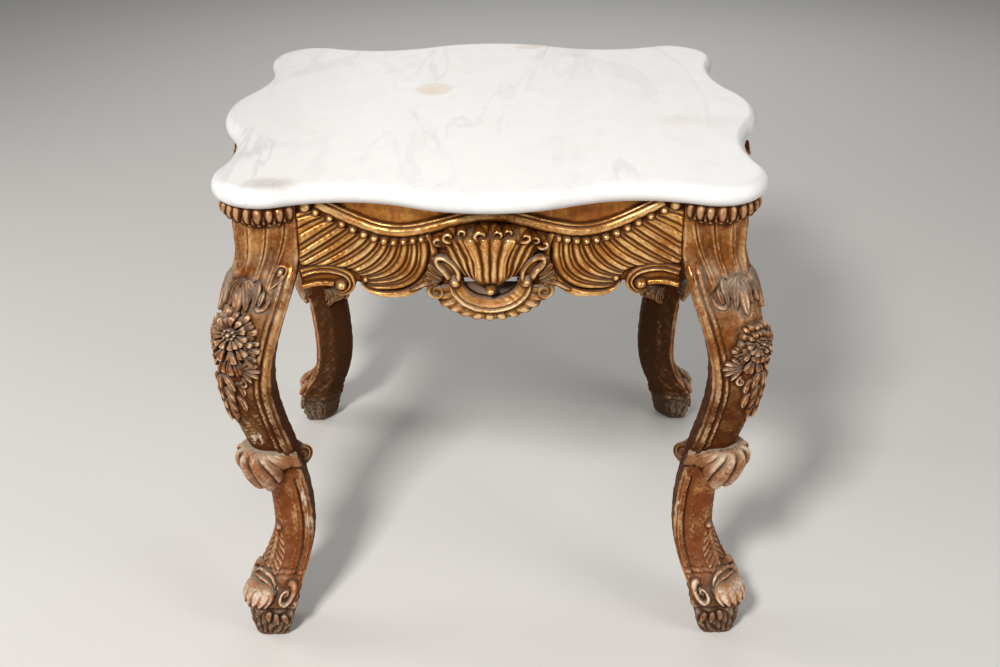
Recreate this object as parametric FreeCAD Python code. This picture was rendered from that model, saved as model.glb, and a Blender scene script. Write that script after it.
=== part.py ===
import FreeCAD, Part
import math
import os

# Serpentine pier table: four carved cabriole legs and four carved friezes make a gilded
# frame, and a loose marble top with a bullnose edge rests on it.  Millimetres, +Z up,
# +X to the right, -Y to the front, origin on the floor under the middle of the table.
# The frame is symmetric left to right and front to back, so each piece is drawn once
# and mirrored into its places.

V = FreeCAD.Vector
UP = V(0, 0, 1)
ROOT2 = math.sqrt(2.0)

# ---------------------------------------------------------------- overall sizes
top_width = 820.0              # marble, belly to belly, left to right
top_depth = 730.0              # marble, belly to belly, front to back
table_height = 760.0
slab_thick = 30.0
slab_round = 14.5              # bullnose radius, top and bottom edge

# ---------------------------------------------------------------- marble outline
lobe_radius = 73.0             # round lobe over each leg
lobe_from_side = 102.0         # lobe's centre, in from the side belly
lobe_from_front = 95.0         # lobe's centre, in from the front belly
long_dip_depth = 43.0          # front hollow, in from the belly
long_dip_from_lobe = 108.0     # front hollow's deepest point, in from the lobe's centre
short_dip_depth = 43.0         # side hollow, in from the belly
short_dip_from_lobe = 90.0     # side hollow's deepest point, in from the lobe's centre

# ---------------------------------------------------------------- legs
# lean is how far the leg's middle stands outwards, along the plan diagonal, from the
# middle of its head; side is the side of its square section.
head_side = 88.0
head_length = 68.0             # straight stretch under the marble
neck_length = 14.0             # gentle start of the curve, below the head
neck_lean = 1.5
shoulder_drop, shoulder_side, shoulder_lean = 140.0, 93.0, 26.0
knee_drop, knee_side, knee_lean = 250.0, 77.0, 61.0
calf_share, calf_side, calf_lean = 0.463, 69.0, 46.0   # share of the way, waist to knee
waist_height, waist_side, waist_lean = 303.0, 64.0, 20.0
ankle_height, ankle_side, ankle_lean = 205.0, 62.0, 5.0
instep_height, instep_side, instep_lean = 125.0, 67.0, 23.0
bulb_height, bulb_side, bulb_lean = 72.0, 75.0, 57.0
sole_side, sole_lean = 68.0, 66.0
inner_cant = 27.0              # flat along the inner corner, measured along each side
outer_round_share = 0.40       # outer corner radius as a share of the section's side
arris_round = 6.0

scroll_radius, scroll_length, scroll_lean = 17.0, 44.0, -5.0   # curl inside the waist
shell_lean = 28.0              # middle of the overhanging shell at the waist
shell_reach = 49.0             # from that middle to the lip of its ribs
shell_top = 341.0
shell_lip = 279.0
shell_rib_width = 31.0
shell_rib_count = 7
shell_fan = 132.0              # degrees from the first rib to the last
foot_ball_radius, foot_ball_lean = 31.0, 74.0
foot_curl_radius, foot_curl_length, foot_curl_lean = 16.0, 74.0, 48.0

# ---------------------------------------------------------------- friezes
belly_setback = 39.0           # frieze face, in from the marble's belly
dip_setback = 25.0             # frieze face, in from the marble's hollow
frieze_thick = 27.0            # at the hollow, where it is thinnest; its back is flat
frieze_drop = 124.0            # depth of the frieze from the marble to its middle edge
rail_drop = 130.0              # lower edge beside the legs
lobe_drop = 140.0              # lowest point of each gadrooned wing
eye_radius, eye_inset = 11.0, 59.0       # scroll eye, in from the leg's side
arch_radius, arch_width, arch_inset = 27.0, 9.0, 34.0
wave_crest_drop, wave_trough_drop = 16.0, 33.0   # serpentine moulding under the marble
wave_width = 16.0
wave_end_inset = 29.0          # where the moulding runs in under the marble
wave_trough_share = 0.45       # trough's place between the middle and the leg
wave_relief = 6.0
scroll_relief = 7.0

tenon_thick, tenon_length = 12.0, 34.0
tenon_top_drop, tenon_height = 18.0, 88.0
tenon_back = 11.0              # from the frieze's flat back to the tenon

# ---------------------------------------------------------------- planted carvings
cartouche_half, cartouche_drop = 97.0, 171.0
cartouche_relief = 13.0
cradle_drop, cradle_half = 149.0, 46.0
fan_half, fan_waist, fan_top_drop = 80.0, 44.0, 30.0
fan_shoulder_drop = 62.0
outer_curl_radius, outer_curl_at = 13.0, 84.0
pendant_radius = 9.0
fringe_thick = 30.0

capital_radius, capital_height = 59.0, 22.0
petal_radius, petal_count = 8.0, 11
flower_radius, flower_drop = 37.0, 204.0
flower_lean = 101.0            # middle of its heart, out from the head's axis
flower_dome, flower_tilt = 40.0, 10.0    # roundness of the petals' fronts; upward turn
flower_back = 46.0             # depth of the blank that is scribed to the knee
flower_heart_radius, flower_petal_count, flower_petal_radius = 13.0, 14, 8.5

# ---------------------------------------------------------------- joinery
block_leg, block_drop, block_height = 78.0, 22.0, 62.0
peg_radius, peg_slack = 4.0, 0.05
peg_inset = 15.0               # from the leg's side into the leg
peg_drops_long, peg_drops_short = (46.0, 88.0), (32.0, 74.0)
screw_shank, screw_head, screw_head_high = 2.4, 4.6, 3.2
screw_bite = 18.0              # length of thread in the frieze
screw_from_leg = 38.0
screw_clearance = 0.1
screw_well = 12.0              # depth of wood left under the screw's head

# ---------------------------------------------------------------- derived places
frame_top = table_height - slab_thick
knee_height = frame_top - knee_drop
calf_height = waist_height + calf_share * (knee_height - waist_height)
lobe_x = top_width / 2 - lobe_from_side
lobe_y = top_depth / 2 - lobe_from_front
half_head = head_side / 2
long_half = lobe_x - half_head          # front frieze, middle to leg
short_half = lobe_y - half_head         # side frieze, middle to leg
long_dip_at, long_dip_out = lobe_x - long_dip_from_lobe, top_depth / 2 - long_dip_depth
short_dip_at, short_dip_out = lobe_y - short_dip_from_lobe, top_width / 2 - short_dip_depth
CORNERS = {"front_left": (-1, -1), "front_right": (1, -1),
           "rear_left": (-1, 1), "rear_right": (1, 1)}


# ================================================================ small helpers
def arc(a, b, c):
    """Edge along the circle through three points."""
    return Part.Arc(a, b, c).toShape()


def line(a, b):
    """Straight edge."""
    return Part.LineSegment(a, b).toShape()


def prism(edges, direction):
    """Solid swept by a closed outline."""
    return Part.Face(Part.Wire(edges)).extrude(direction)


def fuse(shapes):
    """One solid from touching ones."""
    body = shapes[0]
    for other in shapes[1:]:
        body = body.fuse(other)
    return body.removeSplitter()


def largest(shape):
    """The biggest solid of a cut, without the crumbs it leaves."""
    return max(shape.Solids, key=lambda solid: solid.Volume)


def mirrored(shape, sx, sy):
    """The rear right piece, carried to another corner of the table."""
    if sx < 0:
        shape = shape.mirror(V(0, 0, 0), V(1, 0, 0))
    if sy < 0:
        shape = shape.mirror(V(0, 0, 0), V(0, 1, 0))
    return shape


def box(low, high):
    """Upright box between two corners."""
    return Part.makeBox(high.x - low.x, high.y - low.y, high.z - low.z, low)


def at_head(shape):
    """A shape drawn round the leg head's axis, moved to the rear right corner."""
    shape.translate(V(lobe_x, lobe_y, 0))
    return shape


def along(lean):
    """Plan point that stands lean outwards from the head's axis on the diagonal."""
    return V(lean / ROOT2, lean / ROOT2, 0)


# ================================================================ serpentine edges
def hollow_radius(lobe_at, lobe_out, dip_at, dip_out):
    """Radius of the hollow that touches the lobe's circle and is deepest at dip_at."""
    across, rise = lobe_at - dip_at, dip_out - lobe_out
    return (across ** 2 + rise ** 2 - lobe_radius ** 2) / (2 * (lobe_radius - rise))


def belly_radius(dip_at, dip_out, dip_radius, belly_out):
    """Radius of the belly, centred on the table, that touches the hollow's circle."""
    reach = dip_out + dip_radius - belly_out
    return (dip_at ** 2 + reach ** 2 - dip_radius ** 2) / (2 * (dip_radius - reach))


def touch(centre_a, radius_a, centre_b):
    """Point on circle a that faces circle b's centre."""
    way = centre_b.sub(centre_a)
    way.normalize()
    return centre_a.add(way.multiply(radius_a))


class Serpentine:
    """Belly and hollow of one side, in its own frame: x along the side, y outwards."""

    def __init__(self, lobe_at, lobe_out, dip_at, dip_out, belly_out):
        self.dip_radius = hollow_radius(lobe_at, lobe_out, dip_at, dip_out)
        self.radius = belly_radius(dip_at, dip_out, self.dip_radius, belly_out)
        self.lobe = V(lobe_at, lobe_out, 0)
        self.dip = V(dip_at, dip_out + self.dip_radius, 0)
        self.belly = V(0, belly_out - self.radius, 0)
        self.dip_low, self.crown = V(dip_at, dip_out, 0), V(0, belly_out, 0)
        self.inner = touch(self.belly, self.radius, self.dip)
        self.outer = touch(self.lobe, lobe_radius, self.dip)


long_side = Serpentine(lobe_x, lobe_y, long_dip_at, long_dip_out, top_depth / 2)
short_side = Serpentine(lobe_y, lobe_x, short_dip_at, short_dip_out, top_width / 2)


def half_turned(points):
    """Points of a side, from its own frame to the right-hand side of the table."""
    return [V(p.y, p.x, 0) for p in points]


def marble_top():
    """Slab whose outline is sixteen tangent arcs, with both edges rounded."""
    a, b = long_side, short_side
    lobe_tip = a.lobe.add(along(lobe_radius))
    quarter = [(a.inner, a.dip_low, a.outer),
               (a.outer, lobe_tip, half_turned([b.outer])[0]),
               tuple(half_turned([b.outer, b.dip_low, b.inner]))]
    edges = []
    for sx, sy in CORNERS.values():
        edges += [arc(*[V(sx * p.x, sy * p.y, 0) for p in three]) for three in quarter]
    for s in (-1, 1):
        edges.append(arc(V(-a.inner.x, s * a.inner.y, 0), V(0, s * a.crown.y, 0),
                         V(a.inner.x, s * a.inner.y, 0)))
        edges.append(arc(V(s * b.inner.y, -b.inner.x, 0), V(s * b.crown.y, 0, 0),
                         V(s * b.inner.y, b.inner.x, 0)))
    outline = Part.Wire(Part.__sortEdges__(edges))
    slab = Part.Face(outline).extrude(UP * slab_thick)
    rims = [e for e in slab.Edges if abs(e.BoundBox.ZMax - e.BoundBox.ZMin) < 0.01]
    slab = slab.makeFillet(slab_round, rims)
    slab.translate(UP * frame_top)
    return slab


# ================================================================ legs
def leg_section(height, lean, side):
    """Square slice of a leg: round outer corner, soft arrises, flat along its inner corner."""
    h, c, r, q = side / 2, inner_cant, side * outer_round_share, arris_round
    k = 1 - 1 / ROOT2
    o = along(lean).add(UP * height)
    p = [V(-h + c, -h, 0), V(h - q, -h, 0), V(h, -h + q, 0), V(h, h - r, 0),
         V(h - r, h, 0), V(-h + q, h, 0), V(-h, h - q, 0), V(-h, -h + c, 0)]
    mid = [V(h - q * k, -h + q * k, 0), V(h - r * k, h - r * k, 0), V(-h + q * k, h - q * k, 0)]
    p, mid = [o.add(v) for v in p], [o.add(v) for v in mid]
    return Part.Wire([line(p[0], p[1]), arc(p[1], mid[0], p[2]), line(p[2], p[3]),
                      arc(p[3], mid[1], p[4]), line(p[4], p[5]), arc(p[5], mid[2], p[6]),
                      line(p[6], p[7]), line(p[7], p[0])])


def diagonal_cylinder(radius, length, lean, height):
    """Cylinder across the leg's diagonal plane, level, centred on it."""
    across = V(1, -1, 0).multiply(1 / ROOT2)
    start = along(lean).add(UP * height).sub(V(across).multiply(length / 2))
    return Part.makeCylinder(radius, length, start, across)


def waist_shell():
    """Overhanging scallop at the waist: ribs fanned round the leg, hollow underneath."""
    middle, high = (shell_top + shell_lip) / 2, (shell_top - shell_lip) / 2
    ribs = []
    for i in range(shell_rib_count):
        turn = 45.0 + shell_fan * (i / (shell_rib_count - 1) - 0.5)
        rib = Part.makeSphere(1.0)
        scale = FreeCAD.Matrix()
        scale.scale(V(shell_reach / 2, shell_rib_width / 2, high))
        rib = rib.transformGeometry(scale)
        rib.translate(V(shell_reach / 2, 0, 0))
        rib.rotate(V(0, 0, 0), UP, turn)
        ribs.append(rib)
    hood = fuse(ribs)
    hood.translate(along(shell_lean).add(UP * middle))
    hollow = Part.makeSphere(high * 1.02)
    hollow.translate(along(shell_lean + shell_reach * 0.48).add(UP * (shell_lip - high * 0.42)))
    return hood.cut(hollow)


def leg_blank():
    """Cabriole leg round its head's axis, before its mortises."""
    stations = [(0.0, sole_lean, sole_side),
                (bulb_height, bulb_lean, bulb_side),
                (instep_height, instep_lean, instep_side),
                (ankle_height, ankle_lean, ankle_side),
                (waist_height, waist_lean, waist_side),
                (calf_height, calf_lean, calf_side),
                (knee_height, knee_lean, knee_side),
                (frame_top - shoulder_drop, shoulder_lean, shoulder_side),
                (frame_top - head_length - neck_length, neck_lean, head_side),
                (frame_top - head_length, 0.0, head_side)]
    shaft = Part.makeLoft([leg_section(*s) for s in stations], True, False)
    head = Part.Face(leg_section(frame_top - head_length, 0.0, head_side))
    ball = Part.makeSphere(foot_ball_radius)
    ball.translate(along(foot_ball_lean).add(UP * bulb_height))
    above_floor = 2 * bulb_height
    ball = ball.common(box(V(-table_height, -table_height, 0),
                           V(table_height, table_height, above_floor)))
    pieces = [shaft, head.extrude(UP * head_length), ball,
              diagonal_cylinder(scroll_radius, scroll_length, scroll_lean, waist_height),
              diagonal_cylinder(foot_curl_radius, foot_curl_length, foot_curl_lean,
                                bulb_height),
              waist_shell()]
    return at_head(fuse(pieces))


# ================================================================ friezes
class Frieze:
    """One side's frieze in its own frame: x along it, y outwards, z up from the floor."""

    def __init__(self, side, half):
        self.side, self.half = side, half
        self.back = side.dip_low.y - dip_setback - frieze_thick
        self.face = side.crown.y - belly_setback
        self.trough = half * wave_trough_share
        self.end = half - wave_end_inset
        rise = wave_trough_drop - wave_crest_drop
        both = (self.trough ** 2 + rise ** 2) / (2 * rise)
        run = self.end - self.trough
        self.trough_radius = (run ** 2 + wave_trough_drop ** 2) / (2 * wave_trough_drop)
        self.crest_radius = both - self.trough_radius

    def band(self, proud, low, high, back=None):
        """Slice of a board whose front follows the serpentine, proud of the frieze face."""
        s = self.side
        radius = s.dip_radius + dip_setback - proud
        dip = V(s.dip.x, s.dip_low.y - dip_setback + s.dip_radius + dip_setback, 0)
        belly_out = self.face + proud
        reach = dip.y - belly_out
        belly_r = (dip.x ** 2 + reach ** 2 - radius ** 2) / (2 * (radius - reach))
        belly = V(0, belly_out - belly_r, 0)
        join = touch(belly, belly_r, dip)
        low_dip = V(dip.x, dip.y - radius, 0)
        over = self.half + half_head
        end = V(over, dip.y - math.sqrt(radius ** 2 - (over - dip.x) ** 2), 0)
        back = self.back if back is None else back
        flip = [V(-p.x, p.y, 0) for p in (join, low_dip, end)]
        rear = [V(over, back, 0), V(-over, back, 0)]
        edges = [arc(flip[0], V(0, belly_out, 0), join), arc(join, low_dip, end),
                 line(end, rear[0]), line(rear[0], rear[1]), line(rear[1], flip[2]),
                 arc(flip[2], flip[1], flip[0])]
        board = prism(edges, UP * (high - low))
        board.translate(UP * low)
        return board

    def outline(self, edges):
        """Prism through the board, from a closed outline drawn in x and z."""
        start = self.back - 5
        body = prism(edges, V(0, self.face + 60 - start, 0))
        body.translate(V(0, start, 0))
        return body

    def disc(self, x, drop, radius):
        """Round boss through the board, its middle drop below the marble."""
        start = self.back - 5
        return Part.makeCylinder(radius, self.face + 60 - start,
                                 V(x, start, frame_top - drop), V(0, 1, 0))

    def board_shape(self):
        """Elevation of the frieze: straight top, wings and scroll eyes below."""
        half, eye = self.half, self.half - eye_inset
        wing_out, wing_in = eye - eye_radius, cartouche_half - eye_radius
        z = [frame_top, frame_top - rail_drop, frame_top - frieze_drop]
        mid_wing = V((wing_out + wing_in) / 2, 0, frame_top - lobe_drop)
        pts = [V(half, 0, z[0]), V(half, 0, z[1]), V(wing_out, 0, z[1]),
               V(wing_out, 0, z[2]), V(wing_in, 0, z[2])]
        flip = [V(-p.x, 0, p.z) for p in pts]
        edges = [line(pts[0], pts[1]), line(pts[1], pts[2]), line(pts[2], pts[3]),
                 arc(pts[3], mid_wing, pts[4]), line(pts[4], flip[4]),
                 arc(flip[4], V(-mid_wing.x, 0, mid_wing.z), flip[3]), line(flip[3], flip[2]),
                 line(flip[2], flip[1]), line(flip[1], flip[0]), line(flip[0], pts[0])]
        eyes = [self.disc(s * eye, rail_drop, eye_radius) for s in (-1, 1)]
        return fuse([self.outline(edges)] + eyes)

    def wave_shape(self):
        """Serpentine moulding: a crest in the middle and a trough on each side."""
        top = frame_top + wave_width
        trough = V(self.trough, 0, frame_top - wave_trough_drop + self.trough_radius)
        crest = V(0, 0, frame_top - wave_crest_drop - self.crest_radius)
        half_width = wave_width / 2
        rings = []
        for swell in (half_width, -half_width):
            r_trough, r_crest = self.trough_radius + swell, self.crest_radius - swell
            join = touch(crest, r_crest, trough)
            low = V(trough.x, 0, trough.z - r_trough)
            reach = self.end + half_width
            out = V(reach, 0, trough.z - math.sqrt(r_trough ** 2 - (reach - trough.x) ** 2))
            flip = [V(-p.x, 0, p.z) for p in (join, low, out)]
            edges = [arc(flip[0], V(0, 0, crest.z + r_crest), join), arc(join, low, out),
                     line(out, V(reach, 0, top)), line(V(reach, 0, top), V(-reach, 0, top)),
                     line(V(-reach, 0, top), flip[2]), arc(flip[2], flip[1], flip[0])]
            rings.append(self.outline(edges))
        return rings[0].cut(rings[1])

    def arch_shape(self):
        """Curved fillet of each leg-side scroll, from the leg over to its eye."""
        arches = []
        for s in (-1, 1):
            x = s * (self.half - arch_inset)
            ring = self.disc(x, rail_drop, arch_radius).cut(
                self.disc(x, rail_drop, arch_radius - arch_width))
            far = abs(x) + arch_radius + 1
            ends = sorted((s * (abs(x) - arch_radius - 1), s * min(far, self.half)))
            keep = box(V(ends[0], self.back - 5, frame_top - rail_drop),
                       V(ends[1], self.face + 60, frame_top))
            arches.append(ring.common(keep))
        return arches

    def tenons(self):
        """Stub tenon at each end of the frieze."""
        low = frame_top - tenon_top_drop - tenon_height
        y = self.back + tenon_back
        return [box(V(min(s * self.half, s * (self.half + tenon_length)), y, low),
                    V(max(s * self.half, s * (self.half + tenon_length)), y + tenon_thick,
                      low + tenon_height)) for s in (-1, 1)]

    def carving_shape(self):
        """Elevation of the cartouche: shell fan, side curls, pierced cradle and fringe."""
        top, rail = frame_top, frame_top - rail_drop
        fan = [V(fan_waist, 0, rail), V(fan_half, 0, top - fan_shoulder_drop)]
        fan_flip = [V(-p.x, 0, p.z) for p in fan]
        fan_prism = self.outline([
            line(fan_flip[0], fan[0]), line(fan[0], fan[1]),
            arc(fan[1], V(0, 0, top - fan_top_drop), fan_flip[1]), line(fan_flip[1], fan_flip[0])])
        rim, lip = V(cartouche_half, 0, rail), V(cradle_half, 0, rail)
        crescent = self.outline([
            arc(V(-rim.x, 0, rail), V(0, 0, top - cartouche_drop), rim), line(rim, lip),
            arc(lip, V(0, 0, top - cradle_drop), V(-lip.x, 0, rail)),
            line(V(-lip.x, 0, rail), V(-rim.x, 0, rail))])
        pieces = [fan_prism, crescent]
        for s in (-1, 1):
            a, b, c = V(s * cartouche_half, 0, rail), V(s * fan_half, 0, top - fan_shoulder_drop), \
                V(s * fan_waist, 0, rail)
            pieces.append(self.outline([line(a, b), line(b, c), line(c, a)]))
            pieces.append(self.disc(s * outer_curl_at, rail_drop, outer_curl_radius))
            pieces.append(self.disc(s * (cradle_half + 2), rail_drop, eye_radius))
        pieces.append(self.disc(0, rail_drop, pendant_radius))
        return fuse(pieces)

    def parts(self):
        """The frieze board with its mouldings and tenons, and its planted cartouche."""
        low, high = frame_top - cartouche_drop - 5, frame_top
        inside = box(V(-self.half, self.back - 5, low), V(self.half, self.face + 60, high))
        flat = self.band(0, low, high)
        board = flat.common(self.board_shape())
        wave = self.band(wave_relief, low, high).common(self.wave_shape()).common(inside)
        arches = self.band(scroll_relief, low, high)
        arches = [arches.common(a) for a in self.arch_shape()]
        eyes = [self.band(scroll_relief, low, high).common(
            self.disc(s * (self.half - eye_inset), rail_drop, eye_radius)) for s in (-1, 1)]
        board = fuse([board.common(inside), wave] + arches + eyes + self.tenons())
        carving = self.band(cartouche_relief, low, high, self.face - fringe_thick)
        carving = carving.common(self.carving_shape()).cut(board)
        return board, carving


def to_side(shape):
    """From a frieze's own frame to the right-hand side of the table."""
    return shape.mirror(V(0, 0, 0), V(1, -1, 0))


# ================================================================ planted leg carvings
def capital(leg_head):
    """Ring of petals round the outside of a leg's head, tight under the marble."""
    ring = Part.makeCylinder(capital_radius, capital_height)
    petals = []
    for i in range(petal_count):
        turn = math.radians(45.0 + 150.0 * (i / (petal_count - 1) - 0.5))
        where = V(capital_radius * math.cos(turn), capital_radius * math.sin(turn), 0)
        petals.append(Part.makeCylinder(petal_radius, capital_height, where))
    ring = fuse([ring] + petals)
    keep = box(V(-half_head, -half_head, 0),
               V(2 * capital_radius, 2 * capital_radius, capital_height))
    ring = ring.common(keep)
    ring.translate(UP * (frame_top - capital_height))
    return largest(at_head(ring).cut(leg_head))


def knee_flower(leg):
    """Daisy planted on the knee, facing outwards and a little up, scribed to the corner."""
    heart = Part.makeSphere(flower_heart_radius)
    reach = flower_radius - flower_petal_radius
    petals = [Part.makeCylinder(reach, flower_back, V(-flower_back, 0, 0), V(1, 0, 0))]
    for i in range(flower_petal_count):
        turn = 2 * math.pi * i / flower_petal_count
        where = V(-flower_back, reach * math.cos(turn), reach * math.sin(turn))
        petals.append(Part.makeCylinder(flower_petal_radius, flower_back, where, V(1, 0, 0)))
    dome = Part.makeSphere(flower_dome)
    dome.translate(V(-flower_dome + flower_heart_radius / 2, 0, 0))
    bloom = fuse([heart, fuse(petals).common(dome)])
    bloom.rotate(V(0, 0, 0), V(0, 1, 0), -flower_tilt)
    bloom.rotate(V(0, 0, 0), UP, 45.0)
    bloom.translate(along(flower_lean).add(UP * (frame_top - flower_drop)))
    return largest(at_head(bloom).cut(leg))


# ================================================================ joinery
def corner_block():
    """Block glued in the angle behind a leg, fitting the leg's flat inner corner."""
    low = frame_top - block_drop - block_height
    yb, xb = long_frieze.back, short_frieze.back
    x0, y0 = lobe_x - half_head, lobe_y - half_head
    p = [V(x0, yb, low), V(x0 - block_leg, yb, low), V(xb, y0 - block_leg, low), V(xb, y0, low),
         V(x0 + inner_cant, y0, low), V(x0, y0 + inner_cant, low)]
    return prism([line(p[i], p[(i + 1) % len(p)]) for i in range(len(p))], UP * block_height)


def block_screw(clearance=0.0):
    """Countersunk screw along +Y, its head's face at the origin; clearance makes its hole."""
    head = Part.makeCone(screw_head + clearance, screw_shank + clearance, screw_head_high,
                         V(0, 0, 0), V(0, 1, 0))
    shank = Part.makeCylinder(screw_shank + clearance, screw_well + screw_bite + clearance,
                              V(0, 0, 0), V(0, 1, 0))
    return head.fuse(shank).removeSplitter()


def screw_places():
    """Placement of the rear right block's two screws: their head's middle and their way."""
    z = frame_top - block_drop - block_height / 2
    x = lobe_x - half_head - screw_from_leg
    y = lobe_y - half_head - screw_from_leg
    return [(V(x, long_frieze.back - screw_well, z + 12.0), 0.0),
            (V(short_frieze.back - screw_well, y, z - 12.0), -90.0)]


def placed_screw(place, turn, clearance=0.0):
    """Screw, or its hole, turned and put in its place."""
    screw = block_screw(clearance)
    screw.rotate(V(0, 0, 0), UP, turn)
    screw.translate(place)
    return screw


def screw_holes():
    """Screw holes with the wells that take their heads, for the rear right corner."""
    holes = []
    for place, turn in screw_places():
        hole = placed_screw(place, turn, screw_clearance)
        well = Part.makeCylinder(screw_head + 1.0, 90.0, V(0, -90.0, 0), V(0, 1, 0))
        well.rotate(V(0, 0, 0), UP, turn)
        well.translate(place)
        holes += [hole, well]
    return holes


def peg_lines():
    """Start, way and length of each peg through the rear right leg's mortises."""
    x0, y0 = lobe_x - half_head, lobe_y - half_head
    pegs = []
    for drop in peg_drops_long:
        pegs.append((V(x0 + peg_inset, y0 - 1, frame_top - drop), V(0, 1, 0), head_side * 0.85))
    for drop in peg_drops_short:
        pegs.append((V(x0 - 1, y0 + peg_inset, frame_top - drop), V(1, 0, 0), head_side * 0.85))
    return pegs


# ================================================================ assembly
long_frieze = Frieze(long_side, long_half)
short_frieze = Frieze(short_side, short_half)


def build():
    """Every piece of the table, by name."""
    parts = {"marble_top": marble_top()}
    long_board, long_carving = long_frieze.parts()
    short_board, short_carving = short_frieze.parts()

    blank = leg_blank()
    flower = knee_flower(blank)
    crown = capital(blank)
    holes = [Part.makeCylinder(peg_radius, n, a, d) for a, d, n in peg_lines()]
    pegs = [Part.makeCylinder(peg_radius - peg_slack, n, a, d).common(blank)
            for a, d, n in peg_lines()]

    drills = screw_holes()
    block = corner_block().cut(blank)
    for drill in drills:
        block = block.cut(drill)

    leg = blank
    for tool in [long_board, to_side(short_board)] + holes:
        leg = leg.cut(tool)

    def bored(board):
        """A frieze, drilled for the pegs and screws of both its corners."""
        for sx, sy in CORNERS.values():
            for tool in holes + drills:
                board = board.cut(mirrored(tool, sx, sy))
        return board

    rear, right = bored(long_board), bored(to_side(short_board))
    parts["front_frieze"], parts["rear_frieze"] = mirrored(rear, 1, -1), rear
    parts["left_frieze"], parts["right_frieze"] = mirrored(right, -1, 1), right
    side_carving = to_side(short_carving)
    parts["front_cartouche"], parts["rear_cartouche"] = \
        mirrored(long_carving, 1, -1), long_carving
    parts["left_cartouche"], parts["right_cartouche"] = \
        mirrored(side_carving, -1, 1), side_carving

    all_pegs, all_screws = [], []
    for name, (sx, sy) in CORNERS.items():
        parts[name + "_leg"] = mirrored(leg, sx, sy)
        parts[name + "_capital"] = mirrored(crown, sx, sy)
        parts[name + "_knee_flower"] = mirrored(flower, sx, sy)
        parts[name + "_corner_block"] = mirrored(block, sx, sy)
        all_pegs += [mirrored(p, sx, sy) for p in pegs]
        all_screws += [mirrored(placed_screw(*s), sx, sy) for s in screw_places()]
    parts["mortise_pegs"] = Part.makeCompound(all_pegs)
    parts["block_screws"] = Part.makeCompound(all_screws)
    return parts


os.makedirs("parts", exist_ok=True)
for node, shape in build().items():
    solids = shape.Solids
    print(node, "solids", len(solids), "valid", shape.isValid(),
          "volume", round(sum(s.Volume for s in solids) / 1000.0, 1), "cm3")
    shape.exportStep("parts/" + node + ".step")
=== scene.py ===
"""Looks of a serpentine pier table: a carved and gilded frame under a loose white marble top.

Shapes are drawn in millimetres in the table's own frame (+Z up, +X right, -Y front) and
become metres when a mesh is made.  A leg is drawn once round the axis of its head and
mirrored to the four corners, and a frieze is drawn once and carried to the four sides.
"""
from __future__ import annotations

import logging
import math
from dataclasses import dataclass, field, replace
from enum import Enum
from typing import Callable, Iterable, Sequence

import bpy
import numpy as np
from mathutils import Matrix, Vector


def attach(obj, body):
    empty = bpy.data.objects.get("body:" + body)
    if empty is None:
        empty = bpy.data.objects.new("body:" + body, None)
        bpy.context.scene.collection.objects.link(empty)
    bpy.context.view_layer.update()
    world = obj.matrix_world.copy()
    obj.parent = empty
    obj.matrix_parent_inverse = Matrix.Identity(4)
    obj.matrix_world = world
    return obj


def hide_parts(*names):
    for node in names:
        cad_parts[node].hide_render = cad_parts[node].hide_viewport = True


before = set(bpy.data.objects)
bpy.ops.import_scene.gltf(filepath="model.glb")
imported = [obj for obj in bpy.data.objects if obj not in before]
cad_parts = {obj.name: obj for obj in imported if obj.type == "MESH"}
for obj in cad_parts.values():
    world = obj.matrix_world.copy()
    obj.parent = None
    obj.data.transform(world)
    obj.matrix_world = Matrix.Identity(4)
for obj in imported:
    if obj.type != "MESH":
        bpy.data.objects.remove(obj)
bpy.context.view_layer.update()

LOG = logging.getLogger("pier_table")
MM = 0.001
ROOT2 = math.sqrt(2.0)
Array = np.ndarray
Mesh = bpy.types.Mesh
Material = bpy.types.Material
Ground = Callable[[Array, Array], Array]
Colour = tuple[float, float, float]


# ---------- curves and fields
def ramp(low: float | Array, high: float | Array, x: Array) -> Array:
    """Ramp from 0 at low to 1 at high, level at both ends."""
    t = np.clip((x - low) / (high - low), 0.0, 1.0)
    return t * t * (3.0 - 2.0 * t)


def bump(x: Array, middle: float | Array, half: float | Array) -> Array:
    """Round ridge: the square root of 1 - ((x - middle) / half)^2, and 0 outside it."""
    return np.sqrt(np.clip(1.0 - ((x - middle) / half) ** 2, 0.0, 1.0))


def bell(x: Array, middle: float | Array, half: float) -> Array:
    """Bell curve: exp(-((x - middle) / half)^2)."""
    return np.exp(-((x - middle) / half) ** 2)


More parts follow.
